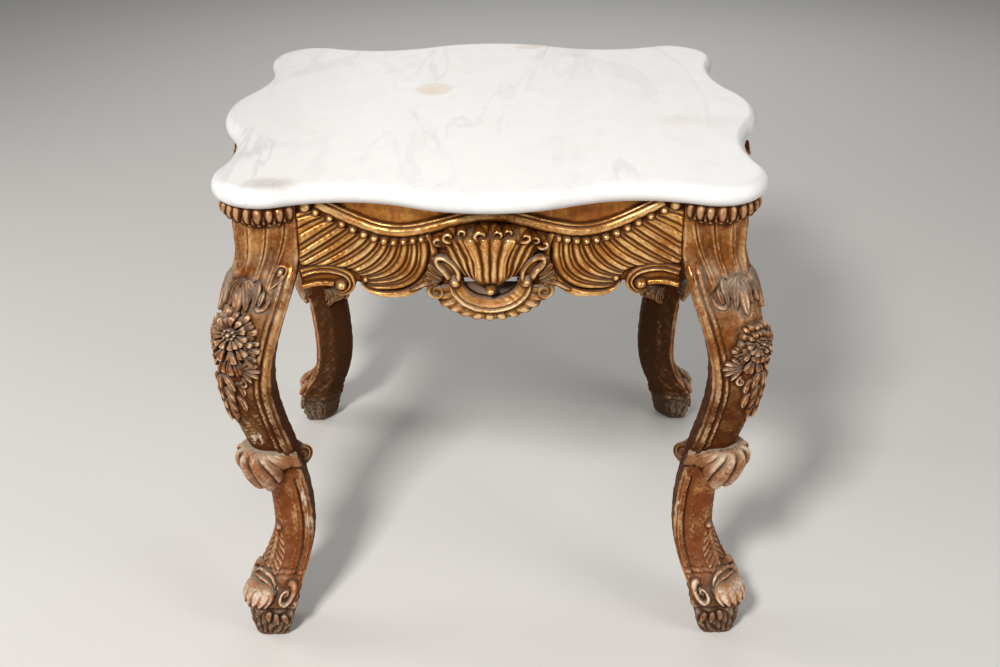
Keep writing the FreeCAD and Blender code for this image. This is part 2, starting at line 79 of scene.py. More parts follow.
def smooth_curve(knots: Iterable[float], values: Iterable, at: Array,
                 end_slope: float | None = None) -> Array:
    """Cubic spline through values at knots.

    The slopes solve the tridiagonal system that keeps the second derivative continuous;
    the first slope is the first chord's, and the last is end_slope or the last chord's.

    Args:
        knots: rising positions of the values.
        values: one number or one row of numbers for each knot.
        at: positions to work out.
        end_slope: slope at the last knot.

    Returns:
        The curve's values at the given positions.
    """
    k = np.asarray(list(knots), float)
    v = np.asarray(list(values), float)
    flat = v.ndim == 1
    v = v.reshape(len(k), -1)
    step = np.diff(k)[:, None]
    chord = np.diff(v, axis=0) / step
    n = len(k)
    m, rhs = np.eye(n), np.zeros_like(v)
    rhs[0] = chord[0]
    rhs[-1] = chord[-1] if end_slope is None else end_slope
    i = np.arange(1, n - 1)
    m[i, i - 1] = 1.0 / step[:-1, 0]
    m[i, i] = 2.0 / step[:-1, 0] + 2.0 / step[1:, 0]
    m[i, i + 1] = 1.0 / step[1:, 0]
    rhs[1:-1] = 3.0 * (chord[:-1] / step[:-1] + chord[1:] / step[1:])
    slope = np.linalg.solve(m, rhs)
    at = np.asarray(at, float)
    j = np.clip(np.searchsorted(k, at.ravel()) - 1, 0, n - 2)
    h = step[j]
    t = ((at.ravel() - k[j]) / h[:, 0])[:, None]
    out = ((1 + 2 * t) * (1 - t) ** 2 * v[j] + t * (1 - t) ** 2 * h * slope[j]
           + t * t * (3 - 2 * t) * v[j + 1] + t * t * (t - 1) * h * slope[j + 1])
    return out.reshape(at.shape) if flat else out.reshape(at.shape + (v.shape[1],))


def through(points: Iterable[tuple[float, float]], count: int) -> Array:
    """Smooth path of count points through a few chosen ones, spaced by chord length."""
    p = np.asarray(list(points), float)
    run = np.concatenate([[0.0], np.cumsum(np.linalg.norm(np.diff(p, axis=0), axis=1))])
    return smooth_curve(run, p, np.linspace(0.0, run[-1], count))


def spiral(middle: tuple[float, float], radius: float, start: float, turns: float,
           count: int = 60, inner: float = 0.24) -> Array:
    """Spiral path: the radius falls from radius to inner · radius as the angle turns.

    Args:
        middle: centre of the curl in ground coordinates.
        radius: radius where the curl starts.
        start: angle where it starts, in degrees.
        turns: turns it makes; negative runs clockwise.
        count: points along it.
        inner: last radius as a share of the first.

    Returns:
        Points of shape (count, 2).
    """
    t = np.linspace(0.0, 1.0, count)
    angle = math.radians(start) + 2 * math.pi * turns * t
    reach = radius * (1.0 - (1.0 - inner) * t)
    return np.stack([middle[0] + reach * np.cos(angle),
                     middle[1] + reach * np.sin(angle)], -1)


def uneven(points: Array, size: float, seed: int) -> Array:
    """Gentle unevenness of about -1 to 1: the sum of seven sine waves in seeded directions."""
    rng = np.random.default_rng(seed)
    waves = rng.normal(size=(7, points.shape[-1]))
    waves *= (2 * math.pi / size * rng.uniform(0.6, 1.5, (7, 1))
              / np.linalg.norm(waves, axis=1, keepdims=True))
    phase = rng.uniform(0.0, 2 * math.pi, 7)
    return np.sin(points @ waves.T + phase).sum(-1) / 2.6


def lifted(ground: Ground, a: Array, b: Array, d: Array) -> Array:
    """ground(a, b) + d · n, with n the unit cross product of its two finite differences."""
    e = 0.05
    p = ground(a, b)
    n = np.cross(ground(a + e, b) - p, ground(a, b + e) - p)
    n /= np.linalg.norm(n, axis=-1, keepdims=True)
    return p + d[..., None] * n


def sheet(rows: int, cols: int) -> tuple[Array, Array]:
    """Quads of a grid whose points are numbered row by row, and its border once round."""
    g = np.arange(rows * cols).reshape(rows, cols)
    quads = np.stack([g[:-1, :-1], g[:-1, 1:], g[1:, 1:], g[1:, :-1]], -1).reshape(-1, 4)
    return quads, np.concatenate([g[0, :-1], g[:-1, -1], g[-1, :0:-1], g[:0:-1, 0]])


def directions(path: Array) -> Array:
    """Unit directions along a path, from the differences of its points."""
    way = np.gradient(path, axis=0)
    return way / np.maximum(np.linalg.norm(way, axis=1, keepdims=True), 1e-6)


# ---------- meshes
@dataclass
class Shell:
    """Closed surfaces gathered into one mesh, in millimetres."""

    points: list[Array] = field(default_factory=list)
    faces: list[Array] = field(default_factory=list)
    count: int = 0

    def _add(self, points: Array, *faces: Array) -> None:
        """Appends one closed surface, its quads or triangles indexed from 0.

        Its faces are turned over if the volume they enclose, the sum of
        p0 · (p1 x p2) / 6 over their triangles, comes out negative.
        """
        points = points.reshape(-1, 3)
        p = points - points.mean(0)
        volume = sum(np.einsum("ij,ij", p[f[:, 0]], np.cross(p[f[:, k]], p[f[:, k + 1]]))
                     for f in faces for k in range(1, f.shape[1] - 1))
        self.points.append(points)
        self.faces += [(f if volume > 0 else f[:, ::-1]) + self.count for f in faces]
        self.count += len(points)

    def tubes(self, p: Array) -> None:
        """Adds tubes, each closed by a fan from the middle of its first and its last row.

        Args:
            p: points of shape (..., rows, cols, 3), with the last column next to the first.
        """
        for q in p.reshape((-1,) + p.shape[-3:]):
            rows, cols = q.shape[:2]
            g = np.arange(rows * cols).reshape(rows, cols)
            h = np.roll(g, -1, 1)
            walls = np.stack([g[:-1], h[:-1], h[1:], g[1:]], -1).reshape(-1, 4)
            first = np.stack([h[0], g[0], np.full_like(g[0], rows * cols)], -1)
            last = np.stack([g[-1], h[-1], np.full_like(g[0], rows * cols + 1)], -1)
            ends = np.stack([q[0].mean(0), q[-1].mean(0)])
            self._add(np.concatenate([q.reshape(-1, 3), ends]), walls, first, last)

    def plates(self, front: Array, shift: Array) -> None:
        """Adds closed plates: a front grid, its border pushed by shift, and a ladder behind.

        The ladder joins the first and last column of each row straight across, and a fan
        closes each end row, so a long curled strip keeps to its own path.

        Args:
            front: points of shape (..., rows, cols, 3).
            shift: displacement from front to back, of a shape that fits front.
        """
        shift = np.broadcast_to(shift, front.shape)
        for q, s in zip(front.reshape((-1,) + front.shape[-3:]),
                        shift.reshape((-1,) + front.shape[-3:])):
            rows, cols = q.shape[:2]
            quads, loop = sheet(rows, cols)
            back = (q + s).reshape(-1, 3)[loop]
            rim = rows * cols + np.arange(len(loop))
            wall = np.stack([np.roll(loop, -1), loop, rim, np.roll(rim, -1)], -1)
            near = rim[:cols]
            right = rim[cols - 1:cols + rows - 1]
            far = rim[cols + rows - 2:2 * cols + rows - 2]
            left = np.concatenate([rim[:1], rim[:len(rim) - rows:-1]])
            ladder = np.stack([left[:-1], left[1:], right[1:], right[:-1]], -1)
            ends = [np.stack([np.full_like(e[1:-1], e[0]), e[2:], e[1:-1]], -1)
                    for e in (near, far)]
            self._add(np.concatenate([q.reshape(-1, 3), back]), quads, wall, ladder, *ends)

    def slab(self, front: Array, back: Array) -> None:
        """Adds a closed board between two grids of the same shape."""
        quads, loop = sheet(*front.shape[:2])
        far = front.shape[0] * front.shape[1]
        wall = np.stack([np.roll(loop, -1), loop, loop + far, np.roll(loop, -1) + far], -1)
        self._add(np.concatenate([front.reshape(-1, 3), back.reshape(-1, 3)]),
                  quads, quads[:, ::-1] + far, wall)

    def eggs(self, ground: Ground, a: Array, b: Array, size: Array, high: Array,
             stretch: float = 1.0, turn: Array | float = 0.0, sunk: float = 0.25) -> None:
        """Adds round bosses on a ground: half and more of an ellipsoid each.

        Args:
            ground: maps ground coordinates to points.
            a, b: middles of the bosses.
            size: radius of each.
            high: height of each.
            stretch: length along b, or along turn, as a share of the radius.
            turn: direction of that length, in radians from b.
            sunk: depth of the boss's middle below its ground, as a share of high.
        """
        a, b, size, high, turn = [np.atleast_1d(np.asarray(v, float))[:, None, None]
                                  for v in np.broadcast_arrays(a, b, size, high, turn)]
        lat = np.linspace(-0.5, 0.985, 8)[None, :, None] * math.pi / 2
        lon = np.linspace(0.0, 2 * math.pi, 14, endpoint=False)[None, None, :]
        u, v = np.cos(lat) * np.cos(lon), np.cos(lat) * np.sin(lon) * stretch
        at_a = a + size * (u * np.cos(turn) - v * np.sin(turn))
        at_b = b + size * (u * np.sin(turn) + v * np.cos(turn))
        d = high * (np.sin(lat) - sunk) + 0.0 * lon
        self.tubes(lifted(ground, at_a, at_b, np.broadcast_to(d, at_a.shape)))

    def ribbons(self, ground: Ground, a: Array, b: Array, d: Array,
                sink: float = 2.5, full: bool = False) -> None:
        """Adds carved ribbons or leaves given by ground coordinates and heights.

        Args:
            ground: maps ground coordinates to points.
            a, b, d: grids of shape (..., rows, cols).
            sink: how far the border is pushed below the ground.
            full: the back follows the ground too, for a wide piece in a hollow.
        """
        front = lifted(ground, a, b, d)
        back = lifted(ground, a, b, np.full_like(d, -sink))
        if full:
            self.slab(front, back)
        else:
            self.plates(front, back - front)

    def moulding(self, ground: Ground, path: Array, half: Array | float, base: float,
                 rise: float, cols: int = 9, sink: float = 2.5, hand: float = 1.0,
                 crest: float = 0.0, flank: float = 1.05) -> None:
        """Adds a moulding, base + rise · sqrt(1 - ((v - crest) / flank)^2) high across.

        Args:
            ground: maps ground coordinates to points.
            path: its middle line, of shape (n, 2).
            half: half width, one number or one for each point.
            base, rise: height of its edges and of its round above them.
            cols: points across.
            sink: how far the border is pushed below the ground.
            hand: -1 mirrors it in a = 0.
            crest, flank: where across it is highest, and how far off the round ends.
        """
        a, b, _, v = band(path, half, cols)
        self.ribbons(ground, hand * a, b, base + rise * bump(v, crest, flank), sink)

    def leaves(self, ground: Ground, lines: Sequence[Array], width: Array | float,
               form: tuple[int, int, float, float], heights: tuple[float, ...]) -> None:
        """Adds veined leaves that swell in the middle.

        With u along and v across, the height is base + rise · sqrt(1 - (v / 1.05)^2)
        - vein · exp(-(v / 0.2)^2) + arch · sin(pi · u).

        Args:
            ground: maps ground coordinates to points.
            lines: the leaves' starts, bends and tips, each of shape (n, 2).
            width: half width of each.
            form: rows, cols, fat and blunt of leaf().
            heights: base, rise, vein and arch.
        """
        a, b, u, v = leaf(*lines, width, *form)
        base, rise, vein, arch = heights
        self.ribbons(ground, a, b, base + rise * bump(v, 0.0, 1.05)
                     - vein * bell(v, 0.0, 0.2) + arch * np.sin(math.pi * u))

    def hand_cut(self, amount: float, size: float, seed: int) -> "Shell":
        """Moves the points sideways by gentle unevenness, and returns the shell."""
        self.points = [p + amount * uneven(p, size, seed)[:, None] * [1.0, 1.0, 0.0]
                       for p in self.points]
        return self

    def mesh(self, name: str) -> Mesh:
        """Makes the Blender mesh in metres.

        Args:
            name: the name it gets.

        Returns:
            The mesh, smooth and checked.
        """
        mesh = bpy.data.meshes.new(name)
        points = np.concatenate(self.points) * MM
        sizes = np.concatenate([np.full(len(f), f.shape[1]) for f in self.faces])
        loops = np.concatenate([f.ravel() for f in self.faces])
        mesh.vertices.add(len(points))
        mesh.vertices.foreach_set("co", points.astype(np.float32).ravel())
        mesh.loops.add(len(loops))
        mesh.loops.foreach_set("vertex_index", loops.astype(np.int32))
        mesh.polygons.add(len(sizes))
        starts = np.concatenate([[0], np.cumsum(sizes)[:-1]])
        mesh.polygons.foreach_set("loop_start", starts.astype(np.int32))
        mesh.polygons.foreach_set("use_smooth", np.ones(len(sizes), bool))
        mesh.update(calc_edges=True)
        mesh.validate()
        return mesh


def leaf(start: Array, bend: Array, tip: Array, width: Array | float,
         rows: int = 10, cols: int = 9, fat: float = 0.55,
         blunt: float = 0.3) -> tuple[Array, Array, Array, Array]:
    """Leaves or petals on a ground.

    The middle line is the quadratic curve start, bend, tip.  The half width is
    width · sin(pi · u^p)^0.7, with p set so that it is widest at fat, and blunt of the
    width is left at both ends.

    Args:
        start, bend, tip: points of shape (n, 2).
        width: half width of each leaf.
        rows, cols: points along and across each leaf.
        fat: where along the leaf it is widest.
        blunt: share of the width that the ends keep.

    Returns:
        Ground coordinates a and b, and the place u along and v across, all (n, rows, cols).
    """
    start, bend, tip = (np.atleast_2d(np.asarray(p, float)) for p in (start, bend, tip))
    width = np.broadcast_to(width, len(start))[:, None, None]
    u = np.linspace(0.0, 1.0, rows)[None, :, None]
    v = np.linspace(-1.0, 1.0, cols)[None, None, :]
    s, m, e = (p[:, None, None, :] for p in (start, bend, tip))
    w = u[..., None]
    line = (1 - w) ** 2 * s + 2 * w * (1 - w) * m + w * w * e
    way = 2 * (1 - w) * (m - s) + 2 * w * (e - m)
    way = way / np.maximum(np.linalg.norm(way, axis=-1, keepdims=True), 1e-6)
    power = math.log(0.5) / math.log(fat)
    half = width * (blunt + (1 - blunt) * np.sin(math.pi * u ** power) ** 0.7)
    a = line[..., 0] - v * half * way[..., 1]
    b = line[..., 1] + v * half * way[..., 0]
    return a, b, u + 0 * a, v + 0 * a


def band(path: Array, half: Array | float, cols: int = 9) -> tuple[Array, Array, Array, Array]:
    """Ribbon along a path: path(u) + v · half(u) · its left-hand normal.

    Args:
        path: points of shape (n, 2).
        half: half width, one number or one for each point.
        cols: points across.

    Returns:
        Ground coordinates a and b, and the place u along and v across.
    """
    way = directions(path)
    v = np.linspace(-1.0, 1.0, cols)[None, :]
    half = np.broadcast_to(half, len(path))[:, None]
    a = path[:, :1] - v * half * way[:, 1:]
    b = path[:, 1:] + v * half * way[:, :1]
    u = np.linspace(0.0, 1.0, len(path))[:, None]
    return a, b, u + 0 * a, v + 0 * a


def write_values(mesh: Mesh, name: str, values: Array) -> None:
    """Writes one number for each point of the mesh."""
    layer = mesh.attributes.get(name) or mesh.attributes.new(name, "FLOAT", "POINT")
    layer.data.foreach_set("value", values.astype(np.float32))


def read(items: bpy.types.bpy_prop_collection, name: str, width: int = 1,
         kind: type = np.float32) -> Array:
    """Array of one property of a mesh's points, corners or faces, width numbers each."""
    values = np.empty(len(items) * width, kind)
    items.foreach_get(name, values)
    return values.reshape(-1, width) if width > 1 else values


def point_normals(mesh: Mesh) -> Array:
    """Normals of the mesh's points, of shape (n, 3)."""
    return read(mesh.vertices, "normal", 3)


def around_cubes(p: Array, low: Array, cell: float,
                 shape: tuple[int, int, int]) -> Iterable[tuple[Array, Array]]:
    """Gives, eight times, a cube next to each point and the point's share in it.

    Args:
        p: points of shape (n, 3).
        low: lowest corner of the block of cubes.
        cell: side of a cube.
        shape: number of cubes along each axis.

    Returns:
        Pairs of the cubes' flat indices and the shares, which add up to 1.
    """
    c = (p - low) / cell - 0.5
    i = np.floor(c).astype(int)
    f = c - i
    for corner in range(8):
        bit = np.array([(corner >> k) & 1 for k in range(3)])
        j = np.clip(i + bit, 0, np.array(shape) - 1)
        yield np.ravel_multi_index(tuple(j.T), shape), np.prod(np.where(bit, f, 1 - f), 1)


def seen_relief(meshes: list[Mesh], name: str, cell: float, reach: float) -> None:
    """Gives each mesh a point value: below 0 in hollows, above 0 on ridges.

    The surface's area is counted in small cubes and blurred by 1 4 6 4 1, and read a
    little outside the surface.  The value is 1 less the reading's share of what a flat
    face gives: there is more surface near in a hollow and less round a ridge.

    Args:
        meshes: meshes of the pieces that touch each other, in metres.
        name: name of the point value.
        cell: side of a cube, in millimetres.
        reach: distance outwards at which the amount is read, in millimetres.
    """
    places = [read(mesh.vertices, "co", 3) / MM for mesh in meshes]
    areas = []
    for mesh in meshes:
        size = read(mesh.polygons, "loop_total", kind=np.int32)
        share = np.repeat(read(mesh.polygons, "area") / size, size)
        corner = read(mesh.loops, "vertex_index", kind=np.int32)
        areas.append(np.bincount(corner, share, len(mesh.vertices)) / MM ** 2)
    p = np.concatenate(places)
    low = p.min(0) - 6 * cell
    shape = tuple(((p.max(0) + 6 * cell - low) / cell).astype(int) + 1)
    amount = np.concatenate(areas)
    cubes = np.zeros(math.prod(shape))
    for flat, share in around_cubes(p, low, cell, shape):
        cubes += np.bincount(flat, amount * share, len(cubes))
    cubes = cubes.reshape(shape)
    for axis in (0, 0, 1, 1, 2, 2):
        cubes = (np.roll(cubes, 1, axis) + cubes * 2 + np.roll(cubes, -1, axis)) / 4
    usual = np.interp(reach / cell, (0, 1, 2, 3), (0.36, 0.25, 0.083, 0)) * cell ** 2
    cubes = cubes.ravel()
    for mesh, q in zip(meshes, places):
        outside = q + point_normals(mesh) * reach
        total = sum(share * cubes[flat]
                    for flat, share in around_cubes(outside, low, cell, shape))
        write_values(mesh, name, np.clip(1.0 - total / usual, -1.5, 1.0))


def mark_relief(meshes: list[Mesh]) -> None:
    """Point values for the paint: fine "relief", broad "depth", and "up", the normal's rise."""
    for mesh in meshes:
        write_values(mesh, "up", point_normals(mesh)[:, 2])
    seen_relief(meshes, "relief", 1.5, 2.4)
    seen_relief(meshes, "depth", 4.0, 7.0)


def mark_bare(mesh: Mesh, outward: Iterable[float], inside: float) -> None:
    """Point value "bare": 1 on faces that look inwards, where no gilding was laid.

    Args:
        mesh: the piece's mesh.
        outward: plan direction out of the table.
        inside: the normal's part along outward where the value reaches 1, from 0 at 0.4 more.
    """
    turned = point_normals(mesh)[:, :2] @ np.asarray(outward, float)
    write_values(mesh, "bare", ramp(inside + 0.4, inside, turned))


# ---------- shaders
class Value:
    """A shader number: wraps a socket, and arithmetic on it adds Math nodes."""

    def __init__(self, shader: "Shader", socket: bpy.types.NodeSocket) -> None:
        """Wraps an output socket of the shader's tree."""
        self.shader, self.socket = shader, socket

    def _math(self, operation: str, first: object, second: object) -> "Value":
        """Adds one Math node."""
        return self.shader.node("ShaderNodeMath", {"operation": operation},
                                {0: first, 1: second})

    def __add__(self, other: object) -> "Value":
        """self + other."""
        return self._math("ADD", self, other)

    def __sub__(self, other: object) -> "Value":
        """self - other."""
        return self._math("SUBTRACT", self, other)

    def __mul__(self, other: object) -> "Value":
        """self · other."""
        return self._math("MULTIPLY", self, other)

    def __rsub__(self, other: float) -> "Value":
        """other - self."""
        return self._math("SUBTRACT", other, self)

    __radd__, __rmul__ = __add__, __mul__

    def ramp(self, low: float, high: float) -> "Value":
        """Smooth step from 0 at low to 1 at high; low may be above high."""
        turned = low > high
        value = self.shader.node("ShaderNodeMapRange", {"interpolation_type": "SMOOTHSTEP"},
                                 {"Value": self, "From Min": min(low, high),
                                  "From Max": max(low, high)})
        return 1.0 - value if turned else value

    def clip(self) -> "Value":
        """The value kept between 0 and 1."""
        return self.shader.node("ShaderNodeClamp", {}, {"Value": self})


class Shader:
    """One material's node tree, with helpers that return wrapped sockets."""

    def __init__(self, name: str) -> None:
        """Starts a material with an empty tree, an output and its Principled shader."""
        self.material = bpy.data.materials.new(name)
        self.material.use_nodes = True
        self.tree = self.material.node_tree
        self.tree.nodes.clear()
        self.principled = self.tree.nodes.new("ShaderNodeBsdfPrincipled")
        output = self.tree.nodes.new("ShaderNodeOutputMaterial")
        self.tree.links.new(self.principled.outputs["BSDF"], output.inputs["Surface"])
        self.place = self.node("ShaderNodeTexCoord", {}, {}, "Object")

    def set_input(self, node: bpy.types.Node, key: int | str, value: object) -> None:
        """Links or sets one input of a node."""
        socket = node.inputs[key]
        if isinstance(value, Value):
            self.tree.links.new(value.socket, socket)
        elif isinstance(value, tuple) and socket.type == "RGBA":
            socket.default_value = (*value, 1.0)
        else:
            socket.default_value = value

    def node(self, kind: str, settings: dict, inputs: dict,
             output: int | str = 0) -> Value:
        """Adds a node.

        Args:
            kind: Blender's node type.
            settings: properties of the node, set first.
            inputs: values or links of its sockets, by name or number.
            output: socket of the result.

        Returns:
            The wrapped output.
        """
        node = self.tree.nodes.new(kind)
        for key, value in settings.items():
            setattr(node, key, value)
        for key, value in inputs.items():
            self.set_input(node, key, value)
        return Value(self, node.outputs[output])

    def stretched(self, scale: Colour, turn: Colour = (0.0, 0.0, 0.0)) -> Value:
        """Object coordinates turned and scaled along each axis."""
        return self.node("ShaderNodeMapping", {"vector_type": "POINT"},
                         {"Vector": self.place, "Rotation": turn, "Scale": scale})

    def noise(self, scale: float, detail: float = 4.0, rough: float = 0.55,
              place: Value | None = None, distortion: float = 0.0) -> Value:
        """Noise of about 0 to 1, with scale in waves to the metre."""
        return self.node("ShaderNodeTexNoise", {"noise_dimensions": "3D"},
                         {"Vector": place or self.place, "Scale": scale, "Detail": detail,
                          "Roughness": rough, "Distortion": distortion})

    def mix(self, first: object, second: object, share: object) -> Value:
        """Colour between first and second."""
        return self.node("ShaderNodeMix", {"data_type": "RGBA"},
                         {"Factor": share, 6: first, 7: second}, 2)

    def blend(self, first: object, second: object, share: object) -> Value:
        """Number between first and second."""
        return self.node("ShaderNodeMix", {"data_type": "FLOAT"},
                         {"Factor": share, 2: first, 3: second}, 0)

    def height(self) -> Value:
        """Height above the floor in metres."""
        return self.node("ShaderNodeSeparateXYZ", {}, {"Vector": self.place}, "Z")

    def value(self, name: str) -> Value:
        """The piece's own point value of that name."""
        return self.node("ShaderNodeAttribute", {"attribute_name": name}, {}, "Fac")

    def away(self, at: Colour, radii: Colour) -> Value:
        """Distance from a place as a share of the radii; an infinite radius leaves its axis out."""
        scale = tuple(1.0 / r for r in radii)
        start = tuple(-c * k for c, k in zip(at, scale))
        shifted = self.node("ShaderNodeMapping", {"vector_type": "POINT"},
                            {"Vector": self.place, "Scale": scale, "Location": start})
        return self.node("ShaderNodeVectorMath", {"operation": "LENGTH"}, {0: shifted}, "Value")

    def bump(self, height: Value, distance: float) -> None:
        """Bump from a height of 0 to 1 that stands for distance metres."""
        normal = self.node("ShaderNodeBump", {}, {"Height": height, "Distance": distance},
                           "Normal")
        self.set_input(self.principled, "Normal", normal)

    def surface(self, **inputs: object) -> Material:
        """Sets the Principled shader's inputs, with _ for a space, and returns the material."""
        for key, value in inputs.items():
            self.set_input(self.principled, key.replace("_", " "), value)
        return self.material


@dataclass(frozen=True)
class Gilding:
    """Old water gilding over red clay and gesso, worn on its ridges and dirty in its hollows, with
    painted highlights on the ridges and painted shade in the hollows.

    Shares run from 0 to 1.  Worn says how much clay shows through and chips how much of the
    white ground, each high up on the leg and low down.
    """

    name: str
    bright: Colour = (0.64, 0.35, 0.13)
    middle: Colour = (0.37, 0.155, 0.042)
    # Pale colour of the ridges: worn gilding, and a painted highlight.
    rub: Colour = (0.72, 0.47, 0.255)
    # Dark colour of the hollows and patches: dirt, and painted shade.
    umber: Colour = (0.062, 0.0160, 0.0022)
    clay: Colour = (0.27, 0.075, 0.022)
    gesso: Colour = (0.66, 0.55, 0.45)
    dust: Colour = (0.33, 0.27, 0.20)
    bare: Colour = (0.060, 0.025, 0.010)
    dirt: Colour = (0.070, 0.040, 0.024)
    gloss: float = 0.06
    metal: float = 0.8
    tarnished: float = 0.45
    # Share of that pale ridge colour: wear, and painted highlight.
    rubbed: float = 0.6
    worn: tuple[float, float] = (0.15, 0.45)
    chips: tuple[float, float] = (0.05, 0.35)
    dusty: float = 0.15
    # Strength of the dark noise patches: dirt, and painted shadow where a part sits in shade.
    grimy: float = 0.12
    calf_shade: float = 0.0
    rough: float = 0.30
    # Raises relief and depth: less dark dirt and painted shade, more pale wear and painted
    # highlight.
    lift: float = 0.0
    shoulder: float = 0.0
    sole_dirt: float = 0.0
    marks: tuple[tuple[float, float, float, float, float], ...] = ()

    def material(self) -> Material:
        """Lays gold tones, worn clay, bare wood, dark dirt with painted shade, dust, worn ridges
        with painted highlights and chips in turn.

        Returns:
            The material.
        """
        s = Shader(self.name)
        relief, depth = s.value("relief") + self.lift, s.value("depth") + self.lift
        bare = s.value("bare")
        gilded = 1.0 - bare
        height = s.height()
        low = height.ramp(0.46, 0.16)
        broad = s.noise(24.0, 5.0, 0.6)
        fine = s.noise(190.0, 4.0, 0.6)
        grit = s.noise(900.0, 3.0, 0.6)
        patch = s.noise(44.0, 6.0, 0.68, distortion=0.6)
        streak = s.noise(70.0, 4.0, 0.6, s.stretched((1.0, 1.0, 0.14)))
        worn_share, chip_share = s.blend(*self.worn, low), s.blend(*self.chips, low)
        gold = s.mix(self.middle, self.bright, (broad * 0.6 + fine * 0.4).ramp(0.38, 0.66))
        worn = (patch * 0.6 + streak * 0.4 + worn_share * 0.3).ramp(0.56, 0.72)
        colour = s.mix(gold, self.clay, worn * 0.85)
        tarnish = s.noise(15.0, 5.0, 0.62, distortion=0.4)
        colour = s.mix(colour, self.clay, tarnish.ramp(0.50, 0.72) * self.tarnished)
        colour = s.mix(colour, self.bare, bare)
        # Painted shade on the calf, between about 0.27 and 0.50 m up.
        calf = height.ramp(0.50, 0.43) * height.ramp(0.27, 0.33) * self.calf_shade
        # Dark hollows, patches and calf: dirt in hollows and patches, painted shade in the hollows
        # and on the calf, and painted shadow on the capital.
        grime_and_shade = (depth.ramp(-0.30, -1.35) * 0.60 + relief.ramp(-0.16, -0.85) * 0.95
                 + patch.ramp(0.42, 0.64) * self.grimy + calf * (0.6 + 0.5 * broad))
        grime_and_shade = (grime_and_shade * (0.70 + 0.60 * fine)).clip()
        colour = s.mix(colour, self.umber, grime_and_shade * 0.95)
        shoulder = height.ramp(0.665, 0.63) * height.ramp(0.555, 0.585) * self.shoulder
        dusty = ((broad + fine * 0.35 - relief * 0.12).ramp(0.46, 0.78) * gilded
                 * (s.value("up").ramp(0.0, 0.85) * 0.93 + 0.07) * self.dusty
                 + broad.ramp(0.36, 0.62) * shoulder * gilded)
        colour = s.mix(colour, self.dust, dusty.clip())
        # Pale ridges: worn gilding, and a painted highlight on what stands out.
        rub_and_highlight_level = relief + depth * 0.20 + (fine - 0.5) * 0.4 + (broad - 0.5) * 0.9
        ridge = (rub_and_highlight_level.ramp(0.10, 0.48) * self.rubbed * (1.0 - bare * 0.75)).clip()
        colour = s.mix(colour, self.rub, ridge)
        flake = s.noise(76.0, 8.0, 0.74, s.stretched((1.0, 1.0, 0.34)))
        hair = s.noise(130.0, 5.0, 0.7, s.stretched((1.0, 1.0, 0.05)))
        spot = chip_share * 0.13 + relief.ramp(0.05, 0.55) * 0.045
        for x, y, z, radius, tall in self.marks:
            spot = spot + s.away((x, y, z), (radius, radius, tall)).ramp(1.3, 0.5) * 0.15
        chip = ((flake + spot).ramp(0.690, 0.712) + (hair + spot).ramp(0.745, 0.765)).clip()
        chip = chip * (1.0 - bare * 0.6)
        colour = s.mix(colour, s.mix(self.gesso, self.middle, fine.ramp(0.42, 0.62) * 0.45), chip)
        shine = ((1.0 - grime_and_shade) * (1.0 - worn * 0.5) * (1.0 - dusty) * (1.0 - chip)
                 * (1.0 - bare * 0.95))
        if self.sole_dirt:
            sole = height.ramp(0.080, 0.045) * self.sole_dirt
            dirt = s.mix(self.dirt, self.dust,
                         (fine * 0.5 + broad * 0.4 + relief * 0.22).ramp(0.34, 0.72))
            colour = s.mix(colour, dirt, sole)
            shine = shine * (1.0 - sole)
        rough = s.blend(0.74, self.rough, shine) + (grit - 0.5) * 0.16
        s.bump(grit * 0.3 + fine * 0.55 - chip * 0.5 + patch * 0.5, 0.0007)
        return s.surface(Base_Color=colour, Metallic=shine * self.metal, Roughness=rough,
                         Specular_IOR_Level=self.gloss)


